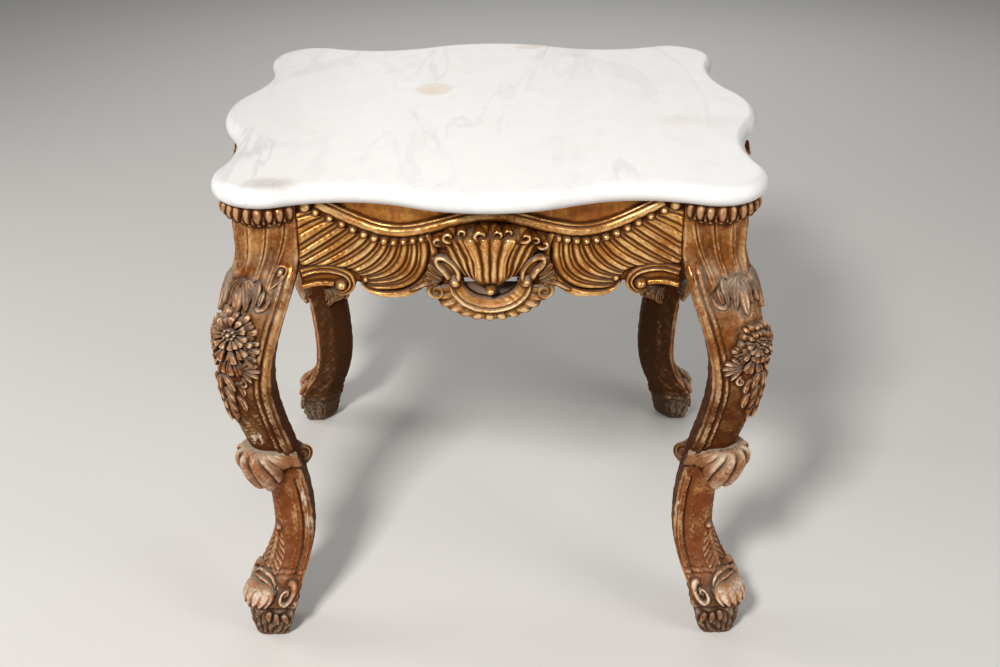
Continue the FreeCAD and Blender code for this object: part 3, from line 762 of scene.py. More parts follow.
@dataclass(frozen=True)
class Marble:
    """White statuary marble with faint grey veins, old stains and a honed top."""

    white: Colour = (0.86, 0.855, 0.85)
    cloud: Colour = (0.68, 0.69, 0.705)
    vein: Colour = (0.46, 0.465, 0.485)
    tan: Colour = (0.66, 0.50, 0.31)
    brown: Colour = (0.30, 0.235, 0.185)
    speck: Colour = (0.20, 0.18, 0.16)
    # Grey of the painted shade on the lower half of the rounded edge and underneath.
    under: Colour = (0.56, 0.55, 0.54)
    stains: tuple[tuple[float, ...], ...] = (   # x, y, wide, deep, ragged, soft, share
        (-0.092, 0.090, 0.034, 0.036, 0.5, 0.72, 0.38),
        (-0.100, 0.080, 0.030, 0.030, 0.9, 0.30, 0.22),
        (0.067, 0.328, 0.030, 0.017, 0.9, 0.5, 0.55),
        (0.144, 0.276, 0.020, 0.014, 0.9, 0.4, 0.3),
        (0.300, -0.070, 0.085, 0.040, 2.2, 0.1, 0.20))
    smudge: tuple[float, ...] = (-0.293, -0.315, 0.048, 0.030, 0.7, 0.25)

    def stain(self, s: Shader, x: float, y: float, wide: float, deep: float,
              ragged: float, soft: float) -> Value:
        """Soft-edged patch on the top: 1 within an uneven ellipse round (x, y), in metres."""
        far = s.away((x, y, 0.0), (wide, deep, math.inf))
        return (far + (s.noise(60.0, 5.0, 0.62) - 0.5) * ragged).ramp(1.0, soft)

    def material(self) -> Material:
        """Clouds, two sets of slanting veins, the stains and specks of use, then painted shade over
        the lower half of the edge.

        Returns:
            The material.
        """
        s = Shader("white_marble")
        slant = s.stretched((1.0, 0.30, 1.0), (0.0, 0.0, math.radians(-38.0)))
        cloud = s.noise(3.4, 5.0, 0.58, slant, 0.5).ramp(0.40, 0.76)
        thread = s.noise(4.4, 5.0, 0.55, slant, 0.6)
        vein = ((thread - 0.5) * (thread - 0.5) * 1500.0).ramp(1.0, 0.0) * (cloud * 0.7 + 0.3)
        steeper = s.stretched((1.0, 0.22, 1.0), (0.0, 0.0, math.radians(-58.0)))
        second = s.noise(7.0, 4.0, 0.55, steeper, 0.4)
        thin = ((second - 0.46) * (second - 0.46) * 3000.0).ramp(1.0, 0.0)
        fade = s.noise(5.0, 3.0, 0.5).ramp(0.40, 0.66)
        colour = s.mix(self.white, self.cloud, cloud * 0.34)
        colour = s.mix(colour, self.vein, (vein * 0.27 + thin * fade * 0.27).clip())
        mottle = s.noise(30.0, 5.0, 0.65).ramp(0.40, 0.75)
        colour = s.mix(colour, self.cloud, mottle * 0.22)
        warm = s.noise(7.0, 4.0, 0.6).ramp(0.56, 0.80) * 0.12
        colour = s.mix(colour, self.tan, warm)
        for *patch, share in self.stains:
            colour = s.mix(colour, self.tan, self.stain(s, *patch) * share)
        smudge = self.stain(s, *self.smudge)
        grain = s.noise(240.0, 5.0, 0.7).ramp(0.15, 0.75)
        colour = s.mix(colour, self.brown, smudge * (grain * 0.5 + 0.25) * 0.72)
        dots = s.node("ShaderNodeTexVoronoi", {"feature": "F1"},
                      {"Vector": s.place, "Scale": 26.0, "Randomness": 1.0}, "Distance")
        colour = s.mix(colour, self.speck, dots.ramp(0.036, 0.022) * 0.6)
        # Painted shade: greyer below the middle of the rounded edge.
        colour = s.mix(colour, self.under, s.height().ramp(0.7475, 0.733) * 0.5)
        rough = s.noise(40.0, 5.0, 0.6) * 0.22 + 0.26 + smudge * 0.2
        s.bump(s.noise(140.0, 5.0, 0.6) * 0.7 + s.noise(22.0, 3.0, 0.5) * 0.6, 0.00035)
        return s.surface(Base_Color=colour, Roughness=rough, Specular_IOR_Level=0.4,
                         Subsurface_Weight=0.06, Subsurface_Radius=(0.006, 0.005, 0.004),
                         Subsurface_Scale=1.0)


@dataclass(frozen=True)
class Timber:
    """Plain unfinished wood inside the frame: dark and dusty, with its grain along one axis."""

    name: str
    dark: Colour = (0.085, 0.042, 0.024)
    light: Colour = (0.22, 0.12, 0.066)
    dust: Colour = (0.26, 0.22, 0.18)
    grain: Colour = (18.0, 140.0, 140.0)

    def material(self) -> Material:
        """Fibres from stretched noise, with dusty patches."""
        s = Shader(self.name)
        fibre = s.noise(1.0, 6.0, 0.62, s.stretched(self.grain), 0.4)
        patch = s.noise(22.0, 4.0, 0.6)
        colour = s.mix(self.dark, self.light, (fibre * 0.7 + patch * 0.3).ramp(0.36, 0.66))
        colour = s.mix(colour, self.dust, patch.ramp(0.55, 0.8) * 0.3)
        s.bump(fibre, 0.0008)
        return s.surface(Base_Color=colour, Roughness=patch * 0.2 + 0.62)


@dataclass(frozen=True)
class ScrewSteel:
    """Darkened steel of the block screws, rusty in patches."""

    steel: Colour = (0.30, 0.28, 0.26)
    rust: Colour = (0.16, 0.065, 0.03)

    def material(self) -> Material:
        """Steel and rust parted by noise."""
        s = Shader("old_steel")
        rusty = s.noise(420.0, 5.0, 0.6).ramp(0.44, 0.62)
        s.bump(s.noise(1500.0, 3.0, 0.6), 0.0003)
        return s.surface(Base_Color=s.mix(self.steel, self.rust, rusty),
                         Metallic=0.85 - rusty * 0.6, Roughness=rusty * 0.35 + 0.36)


FRIEZE_GILT = Gilding("frieze_gilding", bright=(0.80, 0.41, 0.105),
                      middle=(0.50, 0.195, 0.036), rub=(0.92, 0.61, 0.29), worn=(0.10, 0.10),
                      chips=(0.12, 0.12), rubbed=0.8, rough=0.24, grimy=0.2, dusty=0.16,
                      lift=0.05, tarnished=0.4)
# The ruffles: raised relief and no dark patches take off painted shade, and the pale ridge colour
# is a strong painted highlight besides wear.
CREST_GILT = replace(FRIEZE_GILT, name="ruffle_gilding", lift=0.45, dusty=0.0, rubbed=1.0,
                     rub=(0.93, 0.66, 0.36), grimy=0.0, tarnished=0.0)
CRADLE_GILT = replace(FRIEZE_GILT, name="cradle_gilding", lift=0.10, dusty=0.7, rubbed=0.9,
                      rub=(0.90, 0.64, 0.36), dust=(0.30, 0.235, 0.17))
FIELD_GILT = Gilding("frieze_ground_gilding", bright=(0.60, 0.26, 0.055),
                     middle=(0.36, 0.13, 0.028), rubbed=0.3, rough=0.4, dusty=0.02,
                     worn=(0.3, 0.3), chips=(0.0, 0.0))
LEG_GILT = Gilding("leg_gilding", bright=(0.68, 0.345, 0.115), middle=(0.31, 0.108, 0.023),
                   rub=(0.82, 0.53, 0.28), clay=(0.205, 0.051, 0.013), worn=(0.30, 0.85),
                   chips=(0.06, 0.36), metal=0.75, dusty=0.35, grimy=0.25, calf_shade=1.0,
                   rubbed=0.55, rough=0.22, shoulder=0.45, sole_dirt=0.75,
                   marks=((-0.345, -0.332, 0.362, 0.012, 0.024),
                          (-0.287, -0.308, 0.245, 0.009, 0.026),
                          (-0.286, -0.304, 0.190, 0.008, 0.028),
                          (-0.283, -0.318, 0.128, 0.008, 0.020),
                          (0.284, -0.330, 0.400, 0.009, 0.030),
                          (0.286, -0.305, 0.215, 0.008, 0.022)))
# The capital's darker gold and strong dark patches are painted shadow from the marble's overhang.
CAPITAL_GILT = Gilding("capital_gilding", bright=(0.50, 0.27, 0.11),
                       middle=(0.24, 0.088, 0.026), metal=0.6, worn=(0.5, 0.5),
                       chips=(0.12, 0.12), dusty=0.15, grimy=0.7, lift=0.12, rubbed=0.5)
FLOWER_GILT = Gilding("knee_carving_gilding", bright=(0.72, 0.43, 0.21),
                      middle=(0.40, 0.155, 0.048), umber=(0.050, 0.016, 0.004),
                      dust=(0.42, 0.35, 0.28), rub=(0.92, 0.67, 0.44),
                      clay=(0.31, 0.100, 0.028), metal=0.6, worn=(0.45, 0.45),
                      chips=(0.1, 0.1), dusty=0.42, grimy=0.3, lift=0.08, rubbed=0.85,
                      shoulder=0.22)
SHELL_GILT = Gilding("waist_carving_gilding", bright=(0.50, 0.32, 0.19),
                     middle=(0.33, 0.155, 0.07), umber=(0.055, 0.022, 0.009),
                     dust=(0.42, 0.35, 0.26), rub=(0.74, 0.58, 0.43),
                     clay=(0.34, 0.125, 0.045), metal=0.3, worn=(0.6, 0.6),
                     chips=(0.3, 0.3), dusty=0.8, grimy=0.35, rough=0.36, rubbed=0.7)
FOOT_GILT = Gilding("foot_carving_gilding", bright=(0.58, 0.36, 0.21),
                    middle=(0.36, 0.14, 0.050), umber=(0.050, 0.024, 0.011),
                    rub=(0.88, 0.74, 0.60), clay=(0.46, 0.16, 0.045), metal=0.35,
                    worn=(0.6, 0.7), chips=(0.3, 0.45), dusty=0.7, grimy=0.4, rough=0.36,
                    rubbed=0.8, sole_dirt=0.5)


class Place(Enum):
    """Places that the frame's nodes are named for."""

    @property
    def node(self) -> str:
        """The place's name in the frame's nodes."""
        return self.name.lower()


class Corner(Place):
    """The legs, with the signs of their places along X and Y."""

    FRONT_LEFT = (-1, -1)
    FRONT_RIGHT = (1, -1)
    REAR_LEFT = (-1, 1)
    REAR_RIGHT = (1, 1)


class Side(Place):
    """The friezes, with the plan directions of their length and of their outward face."""

    FRONT = ((1, 0), (0, -1))
    REAR = ((-1, 0), (0, 1))
    RIGHT = ((0, 1), (1, 0))
    LEFT = ((0, -1), (-1, 0))


def finish_piece(name: str, mesh: Mesh, material: Material, body: str,
                 nodes: Iterable[str]) -> None:
    """Links a mesh as a piece at the origin, dresses it and tells the frame about it.

    Args:
        name: the piece's name.
        mesh: its mesh, in metres and in place.
        material: its finish.
        body: body that it rides on.
        nodes: nodes that it stands for.
    """
    piece = bpy.data.objects.new(name, mesh)
    bpy.context.scene.collection.objects.link(piece)
    mesh.materials.clear()
    mesh.materials.append(material)
    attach(piece, body)
    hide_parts(*nodes)
    LOG.info("%s: %d faces", name, len(mesh.polygons))


def carried(mesh: Mesh, name: str, matrix: Matrix) -> Mesh:
    """Copy of a mesh moved by a matrix, with its faces kept outwards if it is mirrored."""
    copy = mesh.copy()
    copy.name = name
    copy.transform(matrix)
    if matrix.determinant() < 0:
        copy.flip_normals()
    return copy


# ---------- legs
@dataclass(frozen=True)
class LegForm:
    """Plain form of a cabriole leg round its head's axis, as the frame has it.

    The section is a square with its sides along X and Y.  Its middle leans outwards along
    the diagonal, its outer corner is well rounded, its inner corner is cut flat and its
    two other corners are eased.
    """

    stations: tuple[tuple[float, float, float], ...] = (   # height, lean, side
        (0.0, 66.0, 68.0), (72.0, 57.0, 75.0), (125.0, 23.0, 67.0), (205.0, 5.0, 62.0),
        (303.0, 20.0, 64.0), (385.0, 46.0, 69.0), (480.0, 61.0, 77.0), (590.0, 26.0, 93.0),
        (648.0, 1.5, 88.0), (662.0, 0.0, 88.0))
    outer_share: float = 0.40
    eased: float = 6.0
    inner_flat: float = 27.0

    def lean(self, z: Array) -> Array:
        """Distance of the section's middle from the head's axis."""
        heights, leans, _ = zip(*self.stations)
        return smooth_curve(heights, leans, np.clip(z, 0.0, heights[-1]), 0.0)

    def half(self, z: Array) -> Array:
        """Half the section's side."""
        heights, _, sides = zip(*self.stations)
        return smooth_curve(heights, sides, np.clip(z, 0.0, heights[-1]), 0.0) / 2

    def arris(self, z: Array) -> Array:
        """Distance from the outer corner's middle to the eased corner, along the face."""
        h = self.half(z)
        r = 2 * h * self.outer_share
        return r * math.pi / 4 + 2 * h - r - self.eased

    def ground(self, a: Array, z: Array) -> Array:
        """Point of the outer faces at arc length a from the corner's middle and height z.

        The arc's points stand at its centre plus r (cos f, sin f), with f = 45 degrees
        - a / r; past it a runs down the flat face.  Positive a is on the +Y face.

        Args:
            a: distance round the outer corner from its middle.
            z: height.

        Returns:
            Points of shape (..., 3).
        """
        a, z = np.broadcast_arrays(a, z)
        h = self.half(z)
        r = 2 * h * self.outer_share
        turn = np.clip(a / r, -math.pi / 4, math.pi / 4)
        past = np.abs(a) - r * math.pi / 4
        past = np.where(past > 0, past, 0.0)
        angle = math.pi / 4 - turn
        x = h - r + r * np.cos(angle) - np.where(a < 0, past, 0.0)
        y = h - r + r * np.sin(angle) - np.where(a > 0, past, 0.0)
        lean = self.lean(z) / ROOT2
        return np.stack([y + lean, x + lean, z + 0.0 * a], -1)

    def ring(self, z: Array) -> tuple[Array, Array, Array]:
        """Sections at each height.

        From the outer corner's middle each runs round the corner's arc, down the flat face,
        round the eased corner, along the inner face and over the cut to the diagonal, and
        the other half mirrors it in the diagonal.

        Args:
            z: heights of shape (rows, 1).

        Returns:
            Plan points and plan normals of shape (rows, cols, 2), and the distance a
            along the section from the outer corner's middle, of shape (rows, cols).
        """
        h = self.half(z)
        r, q, c = 2 * h * self.outer_share, self.eased, self.inner_flat

        def share(count: int) -> Array:
            """Count even steps from 0, short of 1."""
            return np.linspace(0.0, 1.0, count, endpoint=False)[None, :]

        eighth, cant = math.pi / 4, share(3)
        arc, ease = eighth * (1 - share(18)), 2 * eighth * share(5)
        face = share(38) * (2 * h - r - q)
        inner = share(22) * (2 * h - q - c)
        easing = r * eighth + 2 * h - r - q
        flat = easing + 2 * eighth * q
        parts = (   # x, y, the normal's x and y, a
            (h - r + r * np.cos(arc), h - r + r * np.sin(arc), np.cos(arc), np.sin(arc),
             r * (eighth - arc)),
            (h, h - r - face, 1.0, 0.0, r * eighth + face),
            (h - q + q * np.cos(ease), q - h - q * np.sin(ease), np.cos(ease), -np.sin(ease),
             easing + q * ease),
            (h - q - inner, -h, 0.0, -1.0, flat + inner),
            (c - h - cant * c / 2, cant * c / 2 - h, -1 / ROOT2, -1 / ROOT2,
             flat + 2 * h - q - c + cant * c / ROOT2))
        x, y, nx, ny, a = (np.concatenate(v, 1)
                           for v in zip(*(np.broadcast_arrays(*part) for part in parts)))
        x, y = (np.concatenate([v, c / 2 - h], 1) for v in (x, y))
        nx, ny = (np.concatenate([v, v[:, -1:]], 1) for v in (nx, ny))
        a = np.concatenate([a, a[:, -1:] + c / ROOT2 / 6], 1)
        back = slice(-2, 0, -1)
        points = np.stack([np.concatenate([x, y[:, back]], 1),
                           np.concatenate([y, x[:, back]], 1)], -1)
        normals = np.stack([np.concatenate([nx, ny[:, back]], 1),
                            np.concatenate([ny, nx[:, back]], 1)], -1)
        return points, normals, np.concatenate([a, -a[:, back]], 1)


@dataclass
class Leg:
    """One carved leg, drawn at the rear right round its head's axis and mirrored."""

    form: LegForm = field(default_factory=LegForm)
    top: float = 730.0
    axis: tuple[float, float] = (308.0, 270.0)
    row_step: float = 1.6
    ridge_lines: tuple[float, ...] = (14.0, 39.0, 65.0)
    channel_deep: float = 5.8
    layer_proud: float = 5.0
    torn_edge: tuple[tuple[float, ...], tuple[float, ...]] = (   # across, height
        (0, 7, 14, 23, 30, 42, 50, 57, 66, 73, 80),
        (615, 618, 622, 611, 620, 611, 604, 599, 606, 611, 614))
    frond: tuple[float, float] = (96.0, 188.0)
    block_top: float = 58.0
    groove_at: float = 57.0
    lip_at: float = 64.0
    sole_round: float = 36.0
    flower_at: float = 534.0
    collar_turn: tuple[float, float] = (-43.0, 133.0)
    lappets: int = 13
    waist_at: float = 303.0
    hood_half: float = 64.0
    hood_rim: float = 341.0
    hood_lip: float = 272.0
    scroll_lean: float = -5.0
    scroll_radius: float = 17.0
    scroll_half: float = 22.0
    toe_top: float = 96.0
    eye: tuple[float, float] = (50.0, 80.0)
    meshes: dict[str, Mesh] = field(default_factory=dict)

    def ragged(self, a: Array) -> Array:
        """Height of the channelled layer's torn lower edge."""
        return np.interp(np.abs(a), *self.torn_edge)

    def channels(self, a: Array, z: Array) -> Array:
        """Height of the head's layer: wide scooped channels between double ridges.

        The ridges stand at chosen distances from the corner and draw together downwards;
        with d the distance from the nearest, the height falls smoothly to the channel's
        floor and a narrow V splits the ridge.

        Args:
            a, z: place on the ground.

        Returns:
            Heights above the plain form.
        """
        draw_in = 1.0 - 0.24 * ramp(705.0, 620.0, z)
        across = np.abs(a) / draw_in + 1.2 * np.sin(z / 23.0)
        d = np.min([np.abs(across - line) for line in self.ridge_lines], 0)
        floor = self.channel_deep * ramp(1.6, 10.5, d)
        split = 2.1 * bell(d, 0.3, 0.9)
        fade = 0.55 + 0.45 * ramp(0.0, 26.0, z - self.ragged(a))
        return self.layer_proud - (floor + split) * fade

    def carving(self, a: Array, z: Array) -> Array:
        """Height of the carving above the plain form.

        It is the sum of the channelled layer of the head, the two rolls along the inner
        edge, the frond above the foot, and the flutes, groove and lip of the foot, each
        faded at its ends.

        Args:
            a, z: place on the ground.

        Returns:
            Heights above the plain form.
        """
        near, f = np.abs(a), self.form
        edge = f.arris(z) - near
        outer = ramp(-4.0, 0.0, edge)
        layer = ramp(0.0, 2.2, z - self.ragged(a)) * ramp(714.0, 710.0, z) * outer
        seam = np.where(z < 628.0, ramp(19.0, 22.0, edge), 1.0)
        d = layer * seam * self.channels(a, z)
        wave = 0.5 * np.sin(z / 17.0)
        rolls = (4.6 * bump(edge, 3.4 + wave, 4.8) + 3.4 * bump(edge, 12.8 + wave, 4.1)
                 - 1.8 * bell(edge, 8.4 + wave, 1.1)
                 - 1.4 * bell(edge, 17.6 + wave, 1.4))
        d = d + rolls * ramp(640.0, 622.0, z) * ramp(296.0, 312.0, z) * outer
        lower = ramp(290.0, 272.0, z) * ramp(96.0, 108.0, z) * outer
        d = d + lower * (2.8 * bump(edge, 3.0, 4.8) - 1.4 * bell(edge, 8.6, 1.6)
                         + 1.2 * bump(edge, 21.0, 5.0))
        low, high = self.frond
        wide = 8.0 + 13.0 * ramp(high, high - 58.0, z)
        frond = (ramp(0.0, 2.0, wide - near) * ramp(high, high - 4.0, z)
                 * ramp(low - 4.0, low, z))
        barbs = np.abs(np.sin(math.pi * (z + 0.9 * near) / 8.6)) ** 0.75
        stem = 2.2 * bump(near, 0.0, 4.2)
        d = d + frond * (2.2 + stem + np.where(near > 5.0, 3.0 * barbs - 2.4, 0.0))
        block = ramp(self.block_top, self.block_top - 4.0, z) * ramp(3.0, 9.0, z)
        beside = np.where(outer > 0.5, near, near - f.arris(z) - 30.0)
        rays = (beside * (1.0 - 0.34 * (z - 20.0) / 34.0) / 12.5
                + 0.14 * np.sin(near / 5.0 + z / 8.0))
        ray = np.abs(np.sin(math.pi * rays)) ** 0.8
        lumps = 0.9 * np.sin(near / 4.1 - z / 3.2 + 1.0)
        inner = 1.0 - outer
        d = d + block * (1.0 - 0.3 * inner) * (3.2 * ray - 3.0 + lumps)
        d = d - 3.4 * bell(z, self.groove_at, 2.8) * (1.0 - 0.5 * inner)
        lip = self.lip_at + 2.0 * np.sin(near / 8.0)
        d = d + inner * ((3.4 + 0.9 * np.sin(near / 3.4)) * bump(z, lip, 6.5)
                         + 1.8 * bump(z, lip + 11.0, 5.5))
        neck = bell(z, 108.0, 2.2) + bell(z, 116.0, 2.0)
        d = d - 1.8 * neck * outer
        return d - 1.5 * ramp(60.0, 50.0, z)

    def shaft(self) -> Shell:
        """The leg itself: sections lifted by the carving, uneven by hand, round at the sole.

        Returns:
            Its closed surfaces.
        """
        rows = int(self.top / self.row_step) + 1
        z = np.linspace(0.0, self.top, rows)[:, None]
        points, normals, a = self.form.ring(z)
        level = z + 0 * a
        d = self.carving(a, level) + 0.35 * uneven(np.stack([a, level], -1), 26.0, 11)
        sole = np.clip(1.0 - z / self.sole_round, 0.0, 1.0)
        drawn_in = 1.0 - 0.42 * (1.0 - np.sqrt(1.0 - sole * sole))
        fixed = 0.35 * self.form.half(z)[..., None]
        plan = ((points + d[..., None] * normals - fixed) * drawn_in[..., None]
                + fixed + (self.form.lean(z) / ROOT2)[..., None])
        shell = Shell()
        shell.tubes(np.concatenate([plan, level[..., None]], -1))
        return shell

    def acanthus(self, shell: Shell, hand: int) -> None:
        """Leaves and looped curls under the channelled layer, and on the left a knob and fold.

        Args:
            shell: the knee carving, which they join.
            hand: -1 on the left legs, 1 on the right ones.
        """
        g = self.form.ground
        for side in (-1.0, 1.0):
            root = np.array([(13, 622), (13, 622), (13, 622), (11, 620), (19, 620), (34, 619),
                             (34, 619), (46, 606)])
            tip = np.array([(6, 584), (17, 571), (29, 580), (1, 598), (33, 595), (29, 590),
                            (38, 585), (45, 586)])
            bow = np.array([(-3, 4), (1, 0), (4, 5), (-3, 4), (4, 5), (-3, 2), (3, 3), (1, 0)])
            wide = np.array([5.4, 7.0, 6.0, 4.4, 5.0, 5.0, 5.2, 4.0])
            flip = np.array([side, 1.0])
            a, b, u, v = leaf(root * flip, ((root + tip) / 2 + bow) * flip, tip * flip, wide,
                              15, 11, 0.5, 0.16)
            shell.ribbons(g, a, b, 2.6 + 3.0 * bump(v, 0.0, 1.05) + 3.4 * np.sin(math.pi * u)
                          - 1.8 * bell(v, 0.0, 0.17) + 1.4 * ramp(0.7, 1.0, u))
            loop = spiral((side * 47.0, 590.0), 9.5, 90.0 - side * 75.0, -side * 0.8, 40, 0.8)
            shell.moulding(g, loop, 3.4 - 1.6 * np.linspace(0, 1, 40), 1.6, 2.6, 7)
            if hand > 0:
                continue
            shell.eggs(g, side * 60.0, 630.0, 5.6, 6.4, 1.15, 0.0, 0.0)
            fold = through([(side * 52, 629), (side * 57, 638.5), (side * 66, 636.5),
                            (side * 68, 627), (side * 61, 616), (side * 50, 606)], 40)
            shell.moulding(g, fold, 2.5 - np.linspace(0, 1, 40), 2.4, 2.0, 7, 3.0)

    def knee(self, hand: int) -> Shell:
        """Daisy on the knee, with a bud and hanging petals, and the leaves round it.

        On the left legs the flower was cut a little higher and further round to the face.
        Its petals stand in three rings, each with its count, first and last angle, inner
        and outer radius, half width, height, curl, and share of the way to the heart.

        Args:
            hand: -1 for the left legs, 1 for the right ones.

        Returns:
            Its closed surfaces.
        """
        shell, mid = Shell(), self.flower_at + (4.0 if hand < 0 else -6.0)
        turned, size = (13.0, 1.0) if hand < 0 else (7.0, 0.8)
        heart = np.array([4.0, 11.0] if hand < 0 else [1.0, 3.0])

        def g(a: Array, b: Array) -> Array:
            """The leg's ground, turned a little round the corner."""
            return self.form.ground(a + turned, b)

        rng = np.random.default_rng(21 + hand)
        rings = ((21, -170.0, -4.0, 26.0, 57.0, 3.2, 1.6, 6.0, 0.0),
                 (25, -190.0, 155.6, 14.0, 38.0, 4.1, 2.8, 8.0, 0.55),
                 (15, -180.0, 156.0, 7.0, 24.0, 3.8, 8.0, 7.0, 1.0))
        for count, first, last, inner, outer, wide, proud, rise, moved in rings:
            angle = np.radians(np.linspace(first, last, count)
                               + rng.uniform(-3.6, 3.6, count))
            way = np.stack([np.cos(angle) * (1.0 if outer < 50.0 else 0.88), np.sin(angle)], -1)
            reach = outer * size * rng.uniform(0.86, 1.06, (count, 1))
            middle = heart * moved + [0.0, mid]
            start, tip = inner * size * way + middle, reach * way + middle
            swirl = rng.uniform(-3.0, 3.0, (count, 1)) * way[:, ::-1] * [-1.0, 1.0]
            a, b, u, v = leaf(start, (start + tip) / 2 + swirl, tip, wide * size, 12, 7,
                              0.78, 0.26)
            lift = rng.uniform(-2.2, 2.2, (count, 1, 1)) * u
            d = (proud + lift + rise * np.sin(math.pi * u * 0.72) + 1.6 * v ** 2
                 - 3.4 * np.abs(v) ** 5 - 3.0 * ramp(0.86, 1.0, u))
            shell.ribbons(g, a, b, d, 3.0)
        turn = np.linspace(0.0, 2 * math.pi, 9)[:-1]
        shell.eggs(g, heart[0] + 6.0 * np.cos(turn), heart[1] + mid + 6.0 * np.sin(turn), 3.2,
                   14.0 + 0 * turn, 1.2, turn, -0.1)
        shell.eggs(g, heart[0], heart[1] + mid, 4.2, 16.0, 1.0, 0.0, -0.1)
        self.spray(shell, size)
        self.acanthus(shell, hand)
        return shell

    def spray(self, shell: Shell, size: float) -> None:
        """Side leaves of the flower and the drop of husks under it.

        Args:
            shell: the knee carving, which they join.
            size: the flower's size, which the drop's width follows.
        """
        g, mid = self.form.ground, self.flower_at
        for side in (-1.0, 1.0):
            flip = np.array([side * size ** 1.5, 1.0])
            tip = np.array([(45, mid - 26), (55, mid - 33), (58, mid - 42), (55, mid - 51),
                            (45, mid - 58)]) * [side, 1.0]
            node = np.array([side * 28.0, mid - 39.0])
            root = node + 0.12 * (tip - node)
            shell.leaves(g, (root, (root + tip) / 2 + [0.0, 1.5], tip), 3.0,
                         (11, 7, 0.66, 0.4), (3.4, 2.8, 0.0, 1.2))
            husk = np.array([(5, mid - 50), (4, mid - 70), (4, mid - 88), (3, mid - 104)]) * flip
            drop = np.array([(13, -24), (10, -25), (8, -23), (6, -20)]) * flip
            shell.leaves(g, (husk, husk + drop * [0.9, 0.3], husk + drop),
                         [4.6, 4.4, 4.0, 3.6], (12, 9, 0.55, 0.35), (3.4, 2.8, 1.8, 2.0))
            outer = np.array([(21, mid - 60), (19, mid - 84)]) * flip
            drop = np.array([(8, -22), (6, -24)]) * flip
            shell.leaves(g, (outer, outer + drop * [1.3, 0.4], outer + drop), 4.6,
                         (12, 9, 0.55, 0.3), (2.4, 2.6, 1.4, 0.0))
            curl = spiral((side * 30.0, mid - 62.0), 7.0, 90.0, -side * 1.1, 34)
            shell.moulding(g, curl, 2.4 - np.linspace(0, 1, 34), 2.6, 2.6)
        at = np.array([(0, mid - 50), (-0.6, mid - 68), (0.6, mid - 86), (-0.4, mid - 101)])
        shell.leaves(g, (at, at + [1.0, -12.0], at + [0.0, -27.0]), 4.6,
                     (12, 9, 0.45, 0.25), (5.0, 3.4, 1.8, 2.0))
        a, b, u, v = leaf([[0.0, mid - 112.0]], [[1.0, mid - 124.0]], [[0.0, mid - 138.0]],
                          4.2, 12, 9, 0.4, 0.2)
        shell.ribbons(g, a, b, 1.8 + 3.2 * bump(v, 0.0, 1.05) * (1 - 0.5 * u))

    def capital(self) -> Shell:
        """Collar of lappets and drops under the marble, round the outside of the head.

        Its scalloped ring carries a row of egg-shaped drops, turned about the head's axis,
        with smaller drops between and below them.

        Returns:
            Its closed surfaces.
        """
        shell = Shell()

        def under(angle: Array, z: Array) -> Array:
            """Round ground of radius 56 about the head's axis: angle is in degrees."""
            t = np.radians(angle)
            return np.stack([56.0 * np.cos(t), 56.0 * np.sin(t), z + 0 * t], -1)

        first, last = self.collar_turn
        turn = np.linspace(first, last, 90)[:, None]
        lap = np.abs(np.cos(math.pi * (turn - first) / (last - first) * self.lappets)) ** 0.6
        high = np.linspace(self.top, 706.0, 14)[None, :]
        reach = 47.0 + 12.0 * ramp(704.0, 712.0, high) + 0 * turn
        t = np.radians(turn)
        front = np.stack([reach * np.cos(t), reach * np.sin(t), high - 1.5 * lap * (high < 712)],
                         -1)
        shell.slab(front, front * [0.6, 0.6, 1.0])
        rng = np.random.default_rng(4)
        mids = (np.linspace(first + 5.0, last - 5.0, self.lappets)
                + rng.uniform(-1.3, 1.3, self.lappets))
        shell.eggs(under, mids, 719.0, 6.4, 8.8, 1.0, 0.0, 0.2)
        a = mids[:, None, None]
        lat = np.linspace(-0.98, 0.98, 9)[None, :, None] * math.pi / 2
        lon = np.linspace(0, 2 * math.pi, 12, endpoint=False)[None, None, :]
        tall, wide, deep = (size * rng.uniform(0.84, 1.08, a.shape) for size in (11.5, 7.0, 8.2))
        t = np.radians(a)
        out = 58.5 + deep * np.cos(lat) * np.cos(lon)
        along = wide * np.cos(lat) * np.sin(lon) * (1.0 + 0.25 * np.sin(lat))
        z = 718.5 + tall * np.sin(lat) + 0 * along + 0 * a
        shell.tubes(np.stack([out * np.cos(t) - along * np.sin(t),
                              out * np.sin(t) + along * np.cos(t),
                              np.minimum(z, self.top - 0.1)], -1))
        shell.eggs(under, (mids[:-1] + mids[1:]) / 2, 711.0, 3.2, 8.0, 1.9, 0.0, 0.1)
        shell.eggs(under, mids, 705.5, 3.4, 4.0, 1.2, 0.0, 0.3)
        return shell

